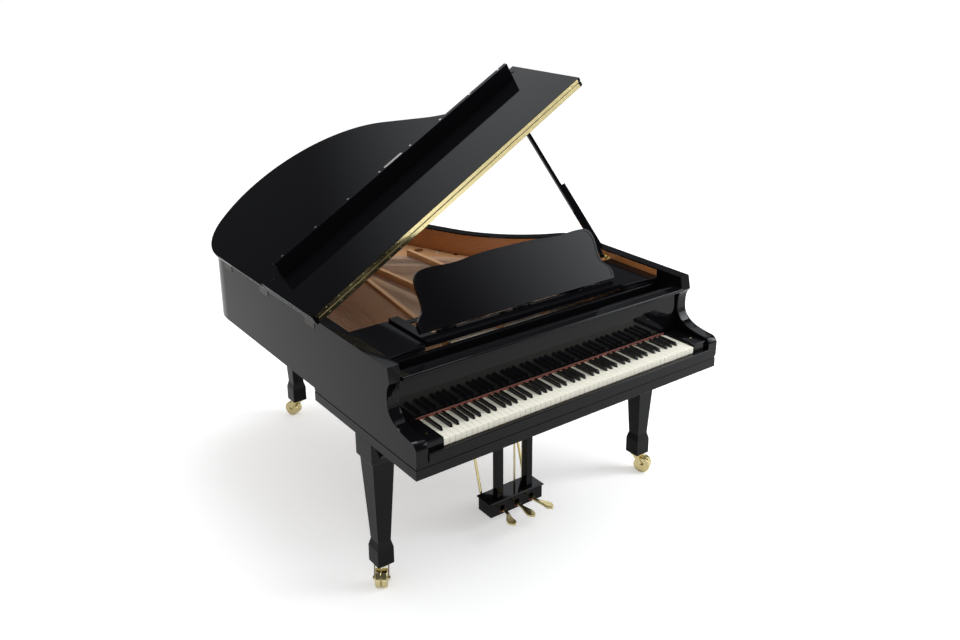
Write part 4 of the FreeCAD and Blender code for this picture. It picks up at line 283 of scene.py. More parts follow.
def wood_grain_group():
    """Straight timber grain: year rings, fine pores and a slow change of tone."""
    tree, start, end = start_group(
        "Wood Grain",
        [("Vector", "NodeSocketVector", None), ("Rings", "NodeSocketFloat", 60.0),
         ("Waver", "NodeSocketFloat", 2.0), ("Pores", "NodeSocketFloat", 500.0),
         ("Light", "NodeSocketColor", (0.6, 0.4, 0.2, 1.0)),
         ("Dark", "NodeSocketColor", (0.3, 0.15, 0.05, 1.0))],
        [("Color", "NodeSocketColor"), ("Roughness", "NodeSocketFloat"),
         ("Height", "NodeSocketFloat")])
    along = new_node(tree, "ShaderNodeMapping", -680, 200)
    along.inputs["Scale"].default_value = (0.04, 1.0, 1.0)
    rings = new_node(tree, "ShaderNodeTexWave", -440, 260, bands_direction="Y")
    rings.inputs["Detail"].default_value = 3.0
    rings.inputs["Detail Scale"].default_value = 1.4
    pores = new_node(tree, "ShaderNodeTexNoise", -440, -60)
    pores.inputs["Detail"].default_value = 4.0
    tone = new_node(tree, "ShaderNodeTexNoise", -440, -340)
    tone.inputs["Scale"].default_value = 9.0
    tone.inputs["Detail"].default_value = 3.0
    figure = new_node(tree, "ShaderNodeMix", -160, 140, data_type="FLOAT")
    figure.inputs["Factor"].default_value = 0.45
    toned = new_node(tree, "ShaderNodeMix", 60, 60, data_type="FLOAT")
    toned.inputs["Factor"].default_value = 0.35
    paint = new_node(tree, "ShaderNodeMix", 380, 160, data_type="RGBA")
    rough = new_node(tree, "ShaderNodeMapRange", 380, -120)
    rough.inputs["To Min"].default_value = 0.3
    rough.inputs["To Max"].default_value = 0.48
    link = tree.links.new
    link(start.outputs["Vector"], along.inputs["Vector"])
    for texture in (rings, pores, tone):
        link(along.outputs["Vector"], texture.inputs["Vector"])
    link(start.outputs["Rings"], rings.inputs["Scale"])
    link(start.outputs["Waver"], rings.inputs["Distortion"])
    link(start.outputs["Pores"], pores.inputs["Scale"])
    link(rings.outputs["Fac"], figure.inputs["A"])
    link(pores.outputs["Fac"], figure.inputs["B"])
    link(figure.outputs["Result"], toned.inputs["A"])
    link(tone.outputs["Fac"], toned.inputs["B"])
    link(toned.outputs["Result"], paint.inputs["Factor"])
    link(start.outputs["Light"], paint.inputs["A"])
    link(start.outputs["Dark"], paint.inputs["B"])
    link(toned.outputs["Result"], rough.inputs["Value"])
    link(paint.outputs["Result"], end.inputs["Color"])
    link(rough.outputs["Result"], end.inputs["Roughness"])
    link(figure.outputs["Result"], end.inputs["Height"])
    return tree


def felt_fibres_group():
    """Matted wool: short fibres over a mottled ground."""
    tree, start, end = start_group(
        "Felt Fibres",
        [("Vector", "NodeSocketVector", None), ("Fineness", "NodeSocketFloat", 900.0),
         ("Ground", "NodeSocketColor", (0.4, 0.03, 0.02, 1.0)),
         ("Fibre", "NodeSocketColor", (0.6, 0.1, 0.06, 1.0))],
        [("Color", "NodeSocketColor"), ("Height", "NodeSocketFloat")])
    fibres = new_node(tree, "ShaderNodeTexNoise", -460, 140)
    fibres.inputs["Detail"].default_value = 5.0
    fibres.inputs["Roughness"].default_value = 0.7
    fibres.inputs["Distortion"].default_value = 1.5
    mottle = new_node(tree, "ShaderNodeTexNoise", -460, -160)
    mottle.inputs["Scale"].default_value = 60.0
    blend = new_node(tree, "ShaderNodeMath", -200, 0, operation="MULTIPLY")
    spread = new_node(tree, "ShaderNodeMapRange", 20, 0)
    spread.inputs["From Min"].default_value = 0.12
    spread.inputs["From Max"].default_value = 0.4
    paint = new_node(tree, "ShaderNodeMix", 300, 100, data_type="RGBA")
    link = tree.links.new
    link(start.outputs["Vector"], fibres.inputs["Vector"])
    link(start.outputs["Vector"], mottle.inputs["Vector"])
    link(start.outputs["Fineness"], fibres.inputs["Scale"])
    link(fibres.outputs["Fac"], blend.inputs[0])
    link(mottle.outputs["Fac"], blend.inputs[1])
    link(blend.outputs["Value"], spread.inputs["Value"])
    link(spread.outputs["Result"], paint.inputs["Factor"])
    link(start.outputs["Ground"], paint.inputs["A"])
    link(start.outputs["Fibre"], paint.inputs["B"])
    link(paint.outputs["Result"], end.inputs["Color"])
    link(fibres.outputs["Fac"], end.inputs["Height"])
    return tree


def casting_skin_group():
    """Painted cast iron: a fine orange skin, slow dents and bright flecks in the paint."""
    tree, start, end = start_group(
        "Casting Skin",
        [("Vector", "NodeSocketVector", None), ("Fineness", "NodeSocketFloat", 420.0),
         ("Paint", "NodeSocketColor", (0.5, 0.3, 0.12, 1.0)),
         ("Fleck", "NodeSocketColor", (0.8, 0.6, 0.3, 1.0))],
        [("Color", "NodeSocketColor"), ("Roughness", "NodeSocketFloat"),
         ("Height", "NodeSocketFloat")])
    skin = new_node(tree, "ShaderNodeTexNoise", -460, 220)
    skin.inputs["Detail"].default_value = 3.0
    dents = new_node(tree, "ShaderNodeTexNoise", -460, -40)
    dents.inputs["Scale"].default_value = 14.0
    flecks = new_node(tree, "ShaderNodeTexVoronoi", -460, -300)
    flecks.inputs["Scale"].default_value = 1500.0
    height = new_node(tree, "ShaderNodeMath", -180, 120, operation="ADD")
    bright = new_node(tree, "ShaderNodeMapRange", -180, -240)
    bright.inputs["From Min"].default_value = 0.28
    bright.inputs["From Max"].default_value = 0.05
    paint = new_node(tree, "ShaderNodeMix", 160, -40, data_type="RGBA")
    rough = new_node(tree, "ShaderNodeMapRange", 160, -300)
    rough.inputs["To Min"].default_value = 0.34
    rough.inputs["To Max"].default_value = 0.5
    link = tree.links.new
    for texture in (skin, dents, flecks):
        link(start.outputs["Vector"], texture.inputs["Vector"])
    link(start.outputs["Fineness"], skin.inputs["Scale"])
    link(skin.outputs["Fac"], height.inputs[0])
    link(dents.outputs["Fac"], height.inputs[1])
    link(flecks.outputs["Distance"], bright.inputs["Value"])
    link(bright.outputs["Result"], paint.inputs["Factor"])
    link(start.outputs["Paint"], paint.inputs["A"])
    link(start.outputs["Fleck"], paint.inputs["B"])
    link(dents.outputs["Fac"], rough.inputs["Value"])
    link(paint.outputs["Result"], end.inputs["Color"])
    link(rough.outputs["Result"], end.inputs["Roughness"])
    link(height.outputs["Value"], end.inputs["Height"])
    return tree


def height_split_group():
    """A mask that is 1 above a height and 0 below it, with a soft edge."""
    tree, start, end = start_group(
        "Height Split",
        [("Value", "NodeSocketFloat", 0.0), ("Level", "NodeSocketFloat", 0.0),
         ("Softness", "NodeSocketFloat", 0.0005)],
        [("Mask", "NodeSocketFloat")])
    low = new_node(tree, "ShaderNodeMath", -500, 60, operation="SUBTRACT")
    high = new_node(tree, "ShaderNodeMath", -500, -140, operation="ADD")
    mask = new_node(tree, "ShaderNodeMapRange", -120, 0)
    link = tree.links.new
    link(start.outputs["Level"], low.inputs[0])
    link(start.outputs["Softness"], low.inputs[1])
    link(start.outputs["Level"], high.inputs[0])
    link(start.outputs["Softness"], high.inputs[1])
    link(start.outputs["Value"], mask.inputs["Value"])
    link(low.outputs["Value"], mask.inputs["From Min"])
    link(high.outputs["Value"], mask.inputs["From Max"])
    link(mask.outputs["Result"], end.inputs["Mask"])
    return tree


GROUP_MAKERS = {
    "Polish Marks": polish_marks_group,
    "Wood Grain": wood_grain_group,
    "Felt Fibres": felt_fibres_group,
    "Casting Skin": casting_skin_group,
    "Height Split": height_split_group,
}


def use_group(tree, name, x, y, **values):
    """Place a shared group in a material and set its own values."""
    shared = bpy.data.node_groups.get(name) or GROUP_MAKERS[name]()
    node = new_node(tree, "ShaderNodeGroup", x, y, node_tree=shared)
    for label, value in values.items():
        node.inputs[label].default_value = value
    return node


def new_material(name):
    """A material with a surface shader and the object's own coordinates."""
    material = bpy.data.materials.get(name)
    if material is not None:
        bpy.data.materials.remove(material)
    material = bpy.data.materials.new(name)
    material.use_nodes = True
    tree = material.node_tree
    shader = tree.nodes["Principled BSDF"]
    place = new_node(tree, "ShaderNodeTexCoord", -1100, 0)
    return material, tree, shader, place.outputs["Object"]


def add_bump(tree, shader, height, strength, depth):
    """Raise a surface by a height, in metres at full strength."""
    bump = new_node(tree, "ShaderNodeBump", -260, -320)
    bump.inputs["Strength"].default_value = strength
    bump.inputs["Distance"].default_value = depth
    tree.links.new(height, bump.inputs["Height"])
    tree.links.new(bump.outputs["Normal"], shader.inputs["Normal"])


def with_alpha(colour):
    """A colour setting as four numbers."""
    return (colour[0], colour[1], colour[2], 1.0)


# The piano's materials

def black_lacquer():
    """Deep black polyester, polished to a mirror with faint hairlines."""
    material, tree, shader, place = new_material("Black Lacquer")
    shader.inputs["Base Color"].default_value = with_alpha(finishes().lacquer)
    shader.inputs["Specular IOR Level"].default_value = 0.16
    marks = use_group(tree, "Polish Marks", -700, 0, Fineness=190.0, Lowest=0.028, Highest=0.075)
    tree.links.new(place, marks.inputs["Vector"])
    tree.links.new(marks.outputs["Roughness"], shader.inputs["Roughness"])
    add_bump(tree, shader, marks.outputs["Height"], 0.05, 0.0004)
    return material


def wood(name, light, dark, rings, waver, turn, gloss):
    """Timber with its grain along the turned X axis."""
    material, tree, shader, place = new_material(name)
    mapping = new_node(tree, "ShaderNodeMapping", -900, 0)
    mapping.inputs["Rotation"].default_value = turn
    grain = use_group(tree, "Wood Grain", -600, 0, Rings=rings, Waver=waver,
                      Light=with_alpha(light), Dark=with_alpha(dark))
    tree.links.new(place, mapping.inputs["Vector"])
    tree.links.new(mapping.outputs["Vector"], grain.inputs["Vector"])
    tree.links.new(grain.outputs["Color"], shader.inputs["Base Color"])
    tree.links.new(grain.outputs["Roughness"], shader.inputs["Roughness"])
    shader.inputs["Coat Weight"].default_value = gloss
    shader.inputs["Coat Roughness"].default_value = 0.12
    add_bump(tree, shader, grain.outputs["Height"], 0.15, 0.0003)
    return material


def cast_paint():
    """Bronze paint on the cast plate."""
    material, tree, shader, place = new_material("Bronze Plate Paint")
    paint = finishes().plate
    fleck = (min(1.0, paint[0] * 1.5), min(1.0, paint[1] * 1.6), min(1.0, paint[2] * 1.9), 1.0)
    skin = use_group(tree, "Casting Skin", -700, 0, Paint=with_alpha(paint), Fleck=fleck)
    tree.links.new(place, skin.inputs["Vector"])
    tree.links.new(skin.outputs["Color"], shader.inputs["Base Color"])
    tree.links.new(skin.outputs["Roughness"], shader.inputs["Roughness"])
    shader.inputs["Metallic"].default_value = 0.45
    add_bump(tree, shader, skin.outputs["Height"], 0.3, 0.0006)
    return material


def metal(name, colour, lowest, highest, fineness, metallic=1.0):
    """Polished metal with fine marks."""
    material, tree, shader, place = new_material(name)
    shader.inputs["Metallic"].default_value = metallic
    marks = use_group(tree, "Polish Marks", -700, 0, Fineness=fineness, Lowest=lowest,
                      Highest=highest)
    tarnish = new_node(tree, "ShaderNodeMix", -360, 200, data_type="RGBA")
    tarnish.inputs["A"].default_value = with_alpha(colour)
    tarnish.inputs["B"].default_value = (colour[0] * 0.82, colour[1] * 0.76, colour[2] * 0.68, 1.0)
    tree.links.new(place, marks.inputs["Vector"])
    tree.links.new(marks.outputs["Height"], tarnish.inputs["Factor"])
    tree.links.new(tarnish.outputs["Result"], shader.inputs["Base Color"])
    tree.links.new(marks.outputs["Roughness"], shader.inputs["Roughness"])
    add_bump(tree, shader, marks.outputs["Height"], 0.08, 0.0004)
    return material


def copper_winding():
    """Copper wire wound tightly round the bass strings, with painted shade in the grooves between the
    turns.
    """
    material, tree, shader, place = new_material("Copper Winding")
    shader.inputs["Metallic"].default_value = STRING_METALLIC
    shader.inputs["Roughness"].default_value = 0.3
    turns = new_node(tree, "ShaderNodeTexWave", -700, 0, bands_direction="Y")
    turns.inputs["Scale"].default_value = 320.0
    # Painted shade: the colour falls to 0.4 of the copper in the grooves between the wire's turns
    painted_groove_shade = new_node(tree, "ShaderNodeMix", -360, 200, data_type="RGBA")
    colour = finishes().copper
    painted_groove_shade.inputs["A"].default_value = (colour[0] * 0.4, colour[1] * 0.36, colour[2] * 0.34, 1.0)
    painted_groove_shade.inputs["B"].default_value = with_alpha(colour)
    tree.links.new(place, turns.inputs["Vector"])
    tree.links.new(turns.outputs["Fac"], painted_groove_shade.inputs["Factor"])
    tree.links.new(painted_groove_shade.outputs["Result"], shader.inputs["Base Color"])
    add_bump(tree, shader, turns.outputs["Fac"], 0.6, 0.0004)
    return material


def wool_felt(name, ground, fibre):
    """Felt with a soft sheen."""
    material, tree, shader, place = new_material(name)
    shader.inputs["Roughness"].default_value = 0.95
    shader.inputs["Sheen Weight"].default_value = 0.35
    shader.inputs["Specular IOR Level"].default_value = 0.1
    wool = use_group(tree, "Felt Fibres", -700, 0, Ground=with_alpha(ground), Fibre=with_alpha(fibre))
    tree.links.new(place, wool.inputs["Vector"])
    tree.links.new(wool.outputs["Color"], shader.inputs["Base Color"])
    add_bump(tree, shader, wool.outputs["Height"], 0.8, 0.0006)
    return material


def coordinate(tree, place, axis):
    """One coordinate of the object's own place."""
    split = new_node(tree, "ShaderNodeSeparateXYZ", -900, 300)
    tree.links.new(place, split.inputs["Vector"])
    return split.outputs[axis]


def key_material(name, cover, is_sharp):
    """Key cover in front and on top, with the bare wooden stick below and behind."""
    material, tree, shader, place = new_material(name)
    wood_stick = use_group(tree, "Wood Grain", -640, -200, Rings=35.0, Waver=1.5,
                           Light=(0.72, 0.5, 0.28, 1.0), Dark=(0.52, 0.32, 0.15, 1.0))
    turn = new_node(tree, "ShaderNodeMapping", -860, -240)
    turn.inputs["Rotation"].default_value = (0.0, 0.0, math.radians(90))
    marks = use_group(tree, "Polish Marks", -640, 120, Fineness=260.0, Lowest=0.16, Highest=0.34)
    above = use_group(tree, "Height Split", -640, 420, Level=KEY_COVER_BOTTOM, Softness=0.0001)
    ahead = use_group(tree, "Height Split", -640, 620, Softness=0.0001,
                      Level=KEY_TOP_BACK - DRAWING_CENTRE.y)
    front = new_node(tree, "ShaderNodeMath", -420, 620, operation="SUBTRACT")
    front.inputs[0].default_value = 1.0
    covered = new_node(tree, "ShaderNodeMath", -240, 500, operation="MULTIPLY")
    paint = new_node(tree, "ShaderNodeMix", -240, 220, data_type="RGBA")
    paint.inputs["B"].default_value = with_alpha(cover)
    rough = new_node(tree, "ShaderNodeMix", -240, 20, data_type="FLOAT")
    link = tree.links.new
    link(coordinate(tree, place, "Z"), above.inputs["Value"])
    link(coordinate(tree, place, "Y"), ahead.inputs["Value"])
    link(ahead.outputs["Mask"], front.inputs[1])
    link(above.outputs["Mask"], covered.inputs[0])
    link(front.outputs["Value"], covered.inputs[1])
    link(place, turn.inputs["Vector"])
    link(turn.outputs["Vector"], wood_stick.inputs["Vector"])
    link(place, marks.inputs["Vector"])
    link(covered.outputs["Value"], paint.inputs["Factor"])
    link(wood_stick.outputs["Color"], paint.inputs["A"])
    link(paint.outputs["Result"], shader.inputs["Base Color"])
    link(covered.outputs["Value"], rough.inputs["Factor"])
    link(wood_stick.outputs["Roughness"], rough.inputs["A"])
    link(marks.outputs["Roughness"], rough.inputs["B"])
    link(rough.outputs["Result"], shader.inputs["Roughness"])
    shader.inputs["Specular IOR Level"].default_value = 0.4 if is_sharp else 0.5
    return material


def hammer_material():
    """White hammer felt above a wooden moulding."""
    material, tree, shader, place = new_material("Hammer Felt And Maple")
    shader.inputs["Roughness"].default_value = 0.8
    wool = use_group(tree, "Felt Fibres", -640, 200, Ground=(0.62, 0.6, 0.54, 1.0),
                     Fibre=(0.86, 0.84, 0.78, 1.0))
    maple = use_group(tree, "Wood Grain", -640, -200, Rings=50.0, Waver=1.0,
                      Light=(0.66, 0.45, 0.25, 1.0), Dark=(0.47, 0.28, 0.13, 1.0))
    top = use_group(tree, "Height Split", -640, 460, Level=HAMMER_FELT_BOTTOM, Softness=0.0002)
    paint = new_node(tree, "ShaderNodeMix", -240, 220, data_type="RGBA")
    link = tree.links.new
    link(place, wool.inputs["Vector"])
    link(place, maple.inputs["Vector"])
    link(coordinate(tree, place, "Z"), top.inputs["Value"])
    link(top.outputs["Mask"], paint.inputs["Factor"])
    link(maple.outputs["Color"], paint.inputs["A"])
    link(wool.outputs["Color"], paint.inputs["B"])
    link(paint.outputs["Result"], shader.inputs["Base Color"])
    add_bump(tree, shader, wool.outputs["Height"], 0.4, 0.0004)
    return material


# Mesh helpers

def add_rounding(part, width, segments):
    """Close a CAD part's loose triangles and round its hard edges, without touching its mesh."""
    weld = part.modifiers.new("Join Triangles", "WELD")
    weld.merge_threshold = CLOSE
    flat = part.modifiers.new("Flat Faces", "DECIMATE")
    flat.decimate_type = "DISSOLVE"
    flat.angle_limit = math.radians(0.4)
    edge = part.modifiers.new("Rounded Edges", "BEVEL")
    edge.width = width
    edge.segments = segments
    edge.limit_method = "ANGLE"
    edge.angle_limit = SMOOTH_TURN
    edge.harden_normals = True
    edge.miter_outer = "MITER_ARC"


def paint_part(name, material):
    """Give a CAD part its material."""
    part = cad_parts[name]
    part.data.materials.clear()
    part.data.materials.append(material)
    return part


def link_object(name, mesh):
    """Put a new mesh object in the scene."""
    piece = bpy.data.objects.new(name, mesh)
    bpy.context.scene.collection.objects.link(piece)
    return piece


def mesh_from(name, work):
    """Finish a bmesh as a named mesh with outward faces."""
    bmesh.ops.remove_doubles(work, verts=work.verts, dist=CLOSE)
    bmesh.ops.recalc_face_normals(work, faces=work.faces)
    mesh = bpy.data.meshes.new(name)
    work.to_mesh(mesh)
    work.free()
    return mesh


def smooth_by_angle(mesh, angle):
    """Shade a mesh smooth except where its faces meet at more than an angle."""
    mesh.shade_smooth()
    mesh.set_sharp_from_angle(angle=angle)


def lathe(work, profile, sides):
    """A turned shape about Z from (radius, height) pairs, closed at both ends."""
    rings = []
    for radius, height in profile:
        ring = []
        for number in range(sides):
            angle = 2 * math.pi * number / sides
            place = (radius * math.cos(angle), radius * math.sin(angle), height)
            ring.append(work.verts.new(place))
        rings.append(ring)
    for low, high in zip(rings[:-1], rings[1:]):
        for number in range(sides):
            after = (number + 1) % sides
            work.faces.new((low[number], low[after], high[after], high[number]))
    work.faces.new(list(reversed(rings[0])))
    work.faces.new(rings[-1])


def slotted_head(name, radius, rise, sides):
    """A domed screw head with a straight slot, standing on z = 0."""
    work = bmesh.new()
    slot = radius * 0.16
    deep = rise * 0.55
    steps = 4
    left, right = [], []
    for side, store in ((-1, left), (1, right)):
        half = []
        for step in range(steps + 1):
            share = step / steps
            reach = radius * math.cos(share * math.pi / 2 * 0.8)
            height = rise * math.sin(share * math.pi / 2 * 0.8) / math.sin(math.pi / 2 * 0.8)
            start = math.asin(min(1.0, slot / reach))
            row = []
            for number in range(sides // 2 + 1):
                angle = start + (math.pi - 2 * start) * number / (sides // 2)
                row.append(work.verts.new((reach * math.cos(angle), side * reach * math.sin(angle),
                                           height)))
            half.append(row)
        store.extend(half)
    for half in (left, right):
        for low, high in zip(half[:-1], half[1:]):
            for number in range(sides // 2):
                work.faces.new((low[number], low[number + 1], high[number + 1], high[number]))
        work.faces.new(half[-1])
        wall = [row[0] for row in half] + [row[-1] for row in reversed(half)]
        work.faces.new(wall)
    floor_height = rise - deep
    corners = [(-radius * 0.98, -slot), (radius * 0.98, -slot), (radius * 0.98, slot),
               (-radius * 0.98, slot)]
    low = [work.verts.new((x, y, 0.0)) for x, y in corners]
    high = [work.verts.new((x, y, floor_height)) for x, y in corners]
    work.faces.new(high)
    for number in range(4):
        after = (number + 1) % 4
        work.faces.new((low[number], low[after], high[after], high[number]))
    mesh = mesh_from(name, work)
    smooth_by_angle(mesh, SMOOTH_TURN)
    return mesh


# Trees that set out the repeated fittings

def start_geometry_tree(name, inputs):
    """An empty geometry tree with named inputs and its end nodes."""
    tree = bpy.data.node_groups.get(name)
    if tree is not None:
        bpy.data.node_groups.remove(tree)
    tree = bpy.data.node_groups.new(name, "GeometryNodeTree")
    tree.interface.new_socket("Geometry", in_out="INPUT", socket_type="NodeSocketGeometry")
    for label, kind, value in inputs:
        socket = tree.interface.new_socket(label, in_out="INPUT", socket_type=kind)
        if value is not None:
            socket.default_value = value
    tree.interface.new_socket("Geometry", in_out="OUTPUT", socket_type="NodeSocketGeometry")
    start = new_node(tree, "NodeGroupInput", -900, 0)
    end = new_node(tree, "NodeGroupOutput", 900, 0)
    return tree, start, end


def end_with_material(tree, start, end, geometry):
    """Make instances real and set their material, as the tree's last step."""
    real = new_node(tree, "GeometryNodeRealizeInstances", 480, 0)
    finish = new_node(tree, "GeometryNodeSetMaterial", 680, 0)
    tree.links.new(geometry, real.inputs["Geometry"])
    tree.links.new(real.outputs["Geometry"], finish.inputs["Geometry"])
    tree.links.new(start.outputs["Material"], finish.inputs["Material"])
    tree.links.new(finish.outputs["Geometry"], end.inputs["Geometry"])


def fittings_on_points_tree():
    """A copy of one fitting on every point of the given mesh."""
    tree, start, end = start_geometry_tree(
        "Fittings On Points",
        [("Fitting", "NodeSocketObject", None), ("Turn", "NodeSocketRotation", None),
         ("Loose Turn", "NodeSocketFloat", 0.0), ("Seed", "NodeSocketInt", 7),
         ("Material", "NodeSocketMaterial", None)])
    shape = new_node(tree, "GeometryNodeObjectInfo", -500, -240, transform_space="ORIGINAL")
    random_turn = new_node(tree, "FunctionNodeRandomValue", -500, 240, data_type="FLOAT")
    negative = new_node(tree, "ShaderNodeMath", -700, 240, operation="MULTIPLY")
    negative.inputs[1].default_value = -1.0
    spin = new_node(tree, "ShaderNodeCombineXYZ", -300, 240)
    as_turn = new_node(tree, "FunctionNodeEulerToRotation", -120, 240)
    both = new_node(tree, "FunctionNodeRotateRotation", 60, 160, rotation_space="LOCAL")
    copies = new_node(tree, "GeometryNodeInstanceOnPoints", 260, 0)
    link = tree.links.new
    link(start.outputs["Fitting"], shape.inputs["Object"])
    link(start.outputs["Loose Turn"], negative.inputs[0])
    link(negative.outputs["Value"], random_turn.inputs[2])
    link(start.outputs["Loose Turn"], random_turn.inputs[3])
    link(start.outputs["Seed"], random_turn.inputs["Seed"])
    link(random_turn.outputs[1], spin.inputs["Z"])
    link(spin.outputs["Vector"], as_turn.inputs["Euler"])
    link(start.outputs["Turn"], both.inputs["Rotation"])
    link(as_turn.outputs["Rotation"], both.inputs["Rotate By"])
    link(start.outputs["Geometry"], copies.inputs["Points"])
    link(shape.outputs["Geometry"], copies.inputs["Instance"])
    link(both.outputs["Rotation"], copies.inputs["Rotation"])
    end_with_material(tree, start, end, copies.outputs["Instances"])
    return tree


def row_tree():
    """Fittings at even distances in a straight row along X, centred on x = 0."""
    tree, start, end = start_geometry_tree(
        "Straight Row",
        [("Fitting", "NodeSocketObject", None), ("Length", "NodeSocketFloat", 1.4),
         ("Pitch", "NodeSocketFloat", 0.06), ("Loose Turn", "NodeSocketFloat", 3.0),
         ("Seed", "NodeSocketInt", 5), ("Material", "NodeSocketMaterial", None)])
    per_length = new_node(tree, "ShaderNodeMath", -700, 300, operation="DIVIDE")
    count = new_node(tree, "ShaderNodeMath", -520, 300, operation="FLOOR")
    spare = new_node(tree, "ShaderNodeMath", -340, 240, operation="SUBTRACT")
    spare.inputs[1].default_value = 1.0
    reach = new_node(tree, "ShaderNodeMath", -160, 240, operation="MULTIPLY")
    first = new_node(tree, "ShaderNodeMath", 0, 240, operation="MULTIPLY")
    first.inputs[1].default_value = -0.5
    origin = new_node(tree, "ShaderNodeCombineXYZ", 160, 240)
    step = new_node(tree, "ShaderNodeCombineXYZ", -160, 60)
    line = new_node(tree, "GeometryNodeMeshLine", 320, 240, mode="OFFSET")
    shape = new_node(tree, "GeometryNodeObjectInfo", 0, -160, transform_space="ORIGINAL")
    random_turn = new_node(tree, "FunctionNodeRandomValue", -160, -360, data_type="FLOAT")
    spin = new_node(tree, "ShaderNodeCombineXYZ", 0, -360)
    as_turn = new_node(tree, "FunctionNodeEulerToRotation", 160, -360)
    copies = new_node(tree, "GeometryNodeInstanceOnPoints", 320, -100)
    link = tree.links.new
    link(start.outputs["Length"], per_length.inputs[0])
    link(start.outputs["Pitch"], per_length.inputs[1])
    link(per_length.outputs["Value"], count.inputs[0])
    link(count.outputs["Value"], spare.inputs[0])
    link(spare.outputs["Value"], reach.inputs[0])
    link(start.outputs["Pitch"], reach.inputs[1])
    link(reach.outputs["Value"], first.inputs[0])
    link(first.outputs["Value"], origin.inputs["X"])
    link(start.outputs["Pitch"], step.inputs["X"])
    link(count.outputs["Value"], line.inputs["Count"])
    link(origin.outputs["Vector"], line.inputs["Start Location"])
    link(step.outputs["Vector"], line.inputs["Offset"])
    link(start.outputs["Fitting"], shape.inputs["Object"])
    link(start.outputs["Loose Turn"], random_turn.inputs[3])
    link(start.outputs["Seed"], random_turn.inputs["Seed"])
    link(random_turn.outputs[1], spin.inputs["Z"])
    link(spin.outputs["Vector"], as_turn.inputs["Euler"])
    link(line.outputs["Mesh"], copies.inputs["Points"])
    link(shape.outputs["Geometry"], copies.inputs["Instance"])
    link(as_turn.outputs["Rotation"], copies.inputs["Rotation"])
    end_with_material(tree, start, end, copies.outputs["Instances"])
    return tree


def along_curve_tree():
    """Fittings at even distances along a curve, in a row on each side of it."""
    tree, start, end = start_geometry_tree(
        "Along Curve",
        [("Fitting", "NodeSocketObject", None), ("Pitch", "NodeSocketFloat", 0.1),
         ("Aside", "NodeSocketFloat", 0.0), ("Seed", "NodeSocketInt", 3),
         ("Material", "NodeSocketMaterial", None)])
    spaced = new_node(tree, "GeometryNodeResampleCurve", -560, 100)
    spaced.mode = "LENGTH"
    tangent = new_node(tree, "GeometryNodeInputTangent", -760, -140)
    upward = new_node(tree, "ShaderNodeVectorMath", -560, -140, operation="CROSS_PRODUCT")
    upward.inputs[1].default_value = (0.0, 0.0, 1.0)
    aside = new_node(tree, "ShaderNodeVectorMath", -380, -140, operation="SCALE")
    other = new_node(tree, "ShaderNodeVectorMath", -200, -240, operation="SCALE")
    other.inputs["Scale"].default_value = -1.0
    to_right = new_node(tree, "GeometryNodeSetPosition", -200, 100)
    to_left = new_node(tree, "GeometryNodeSetPosition", -20, -100)
    both = new_node(tree, "GeometryNodeJoinGeometry", 140, 60)
    shape = new_node(tree, "GeometryNodeObjectInfo", -20, -340, transform_space="ORIGINAL")
    random_turn = new_node(tree, "FunctionNodeRandomValue", -20, -560, data_type="FLOAT")
    random_turn.inputs[3].default_value = math.pi
    spin = new_node(tree, "ShaderNodeCombineXYZ", 140, -560)
    as_turn = new_node(tree, "FunctionNodeEulerToRotation", 300, -460)
    copies = new_node(tree, "GeometryNodeInstanceOnPoints", 320, 0)
    link = tree.links.new
    link(start.outputs["Geometry"], spaced.inputs["Curve"])
    link(start.outputs["Pitch"], spaced.inputs["Length"])
    link(tangent.outputs["Tangent"], upward.inputs[0])
    link(upward.outputs["Vector"], aside.inputs["Vector"])
    link(start.outputs["Aside"], aside.inputs["Scale"])
    link(aside.outputs["Vector"], other.inputs["Vector"])
    for place, way in ((to_right, aside), (to_left, other)):
        link(spaced.outputs["Curve"], place.inputs["Geometry"])
        link(way.outputs["Vector"], place.inputs["Offset"])
        link(place.outputs["Geometry"], both.inputs["Geometry"])
    link(start.outputs["Fitting"], shape.inputs["Object"])
    link(start.outputs["Seed"], random_turn.inputs["Seed"])
    link(random_turn.outputs[1], spin.inputs["Z"])
    link(spin.outputs["Vector"], as_turn.inputs["Euler"])
    link(both.outputs["Geometry"], copies.inputs["Points"])
    link(shape.outputs["Geometry"], copies.inputs["Instance"])
    link(as_turn.outputs["Rotation"], copies.inputs["Rotation"])
    end_with_material(tree, start, end, copies.outputs["Instances"])
    return tree


def set_out(name, base, tree, fitting_mesh, body, slot, place=Matrix(), **inputs):
    """Run a tree on a base object and keep its placed result as one plain mesh on a body."""
    model = link_object(name + "_model", fitting_mesh)
    modifier = base.modifiers.new("Set Out", "NODES")
    modifier.node_group = tree
    inputs["Fitting"] = model
    for socket in tree.interface.items_tree:
        if socket.in_out == "INPUT" and socket.name in inputs:
            modifier[socket.identifier] = inputs[socket.name]
    bpy.context.view_layer.update()
    ready = base.evaluated_get(bpy.context.evaluated_depsgraph_get())
    mesh = bpy.data.meshes.new_from_object(ready)
    mesh.name = name
    mesh.transform(place)
    piece = link_object(name, mesh)
    for helper in (base, model):
        bpy.data.objects.remove(helper)
    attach(piece, body)
    return piece


def points_object(name, places):
    """A mesh with only points at the given places."""
    mesh = bpy.data.meshes.new(name)
    mesh.from_pydata([tuple(place) for place in places], [], [])
    return link_object(name, mesh)


def line_object(name, places):
    """A smooth curve through the given places."""
    curve = bpy.data.curves.new(name, "CURVE")
    curve.dimensions = "3D"
    spline = curve.splines.new("NURBS")
    spline.points.add(len(places) - 1)
    for point, place in zip(spline.points, places):
        point.co = (place[0], place[1], place[2], 1.0)
    spline.order_u = 3
    spline.use_endpoint_u = True
    return link_object(name, curve)


# Where the strings are

def note_x(note):
    """The sideways place of a note's strings."""
    width = NOTES * NOTE_PITCH + len(SECTION_STARTS) * SECTION_GAP
    gaps = sum(1 for start in SECTION_STARTS if note >= start)
    return -width / 2 + NOTE_PITCH * (note + 0.5) + SECTION_GAP * gaps


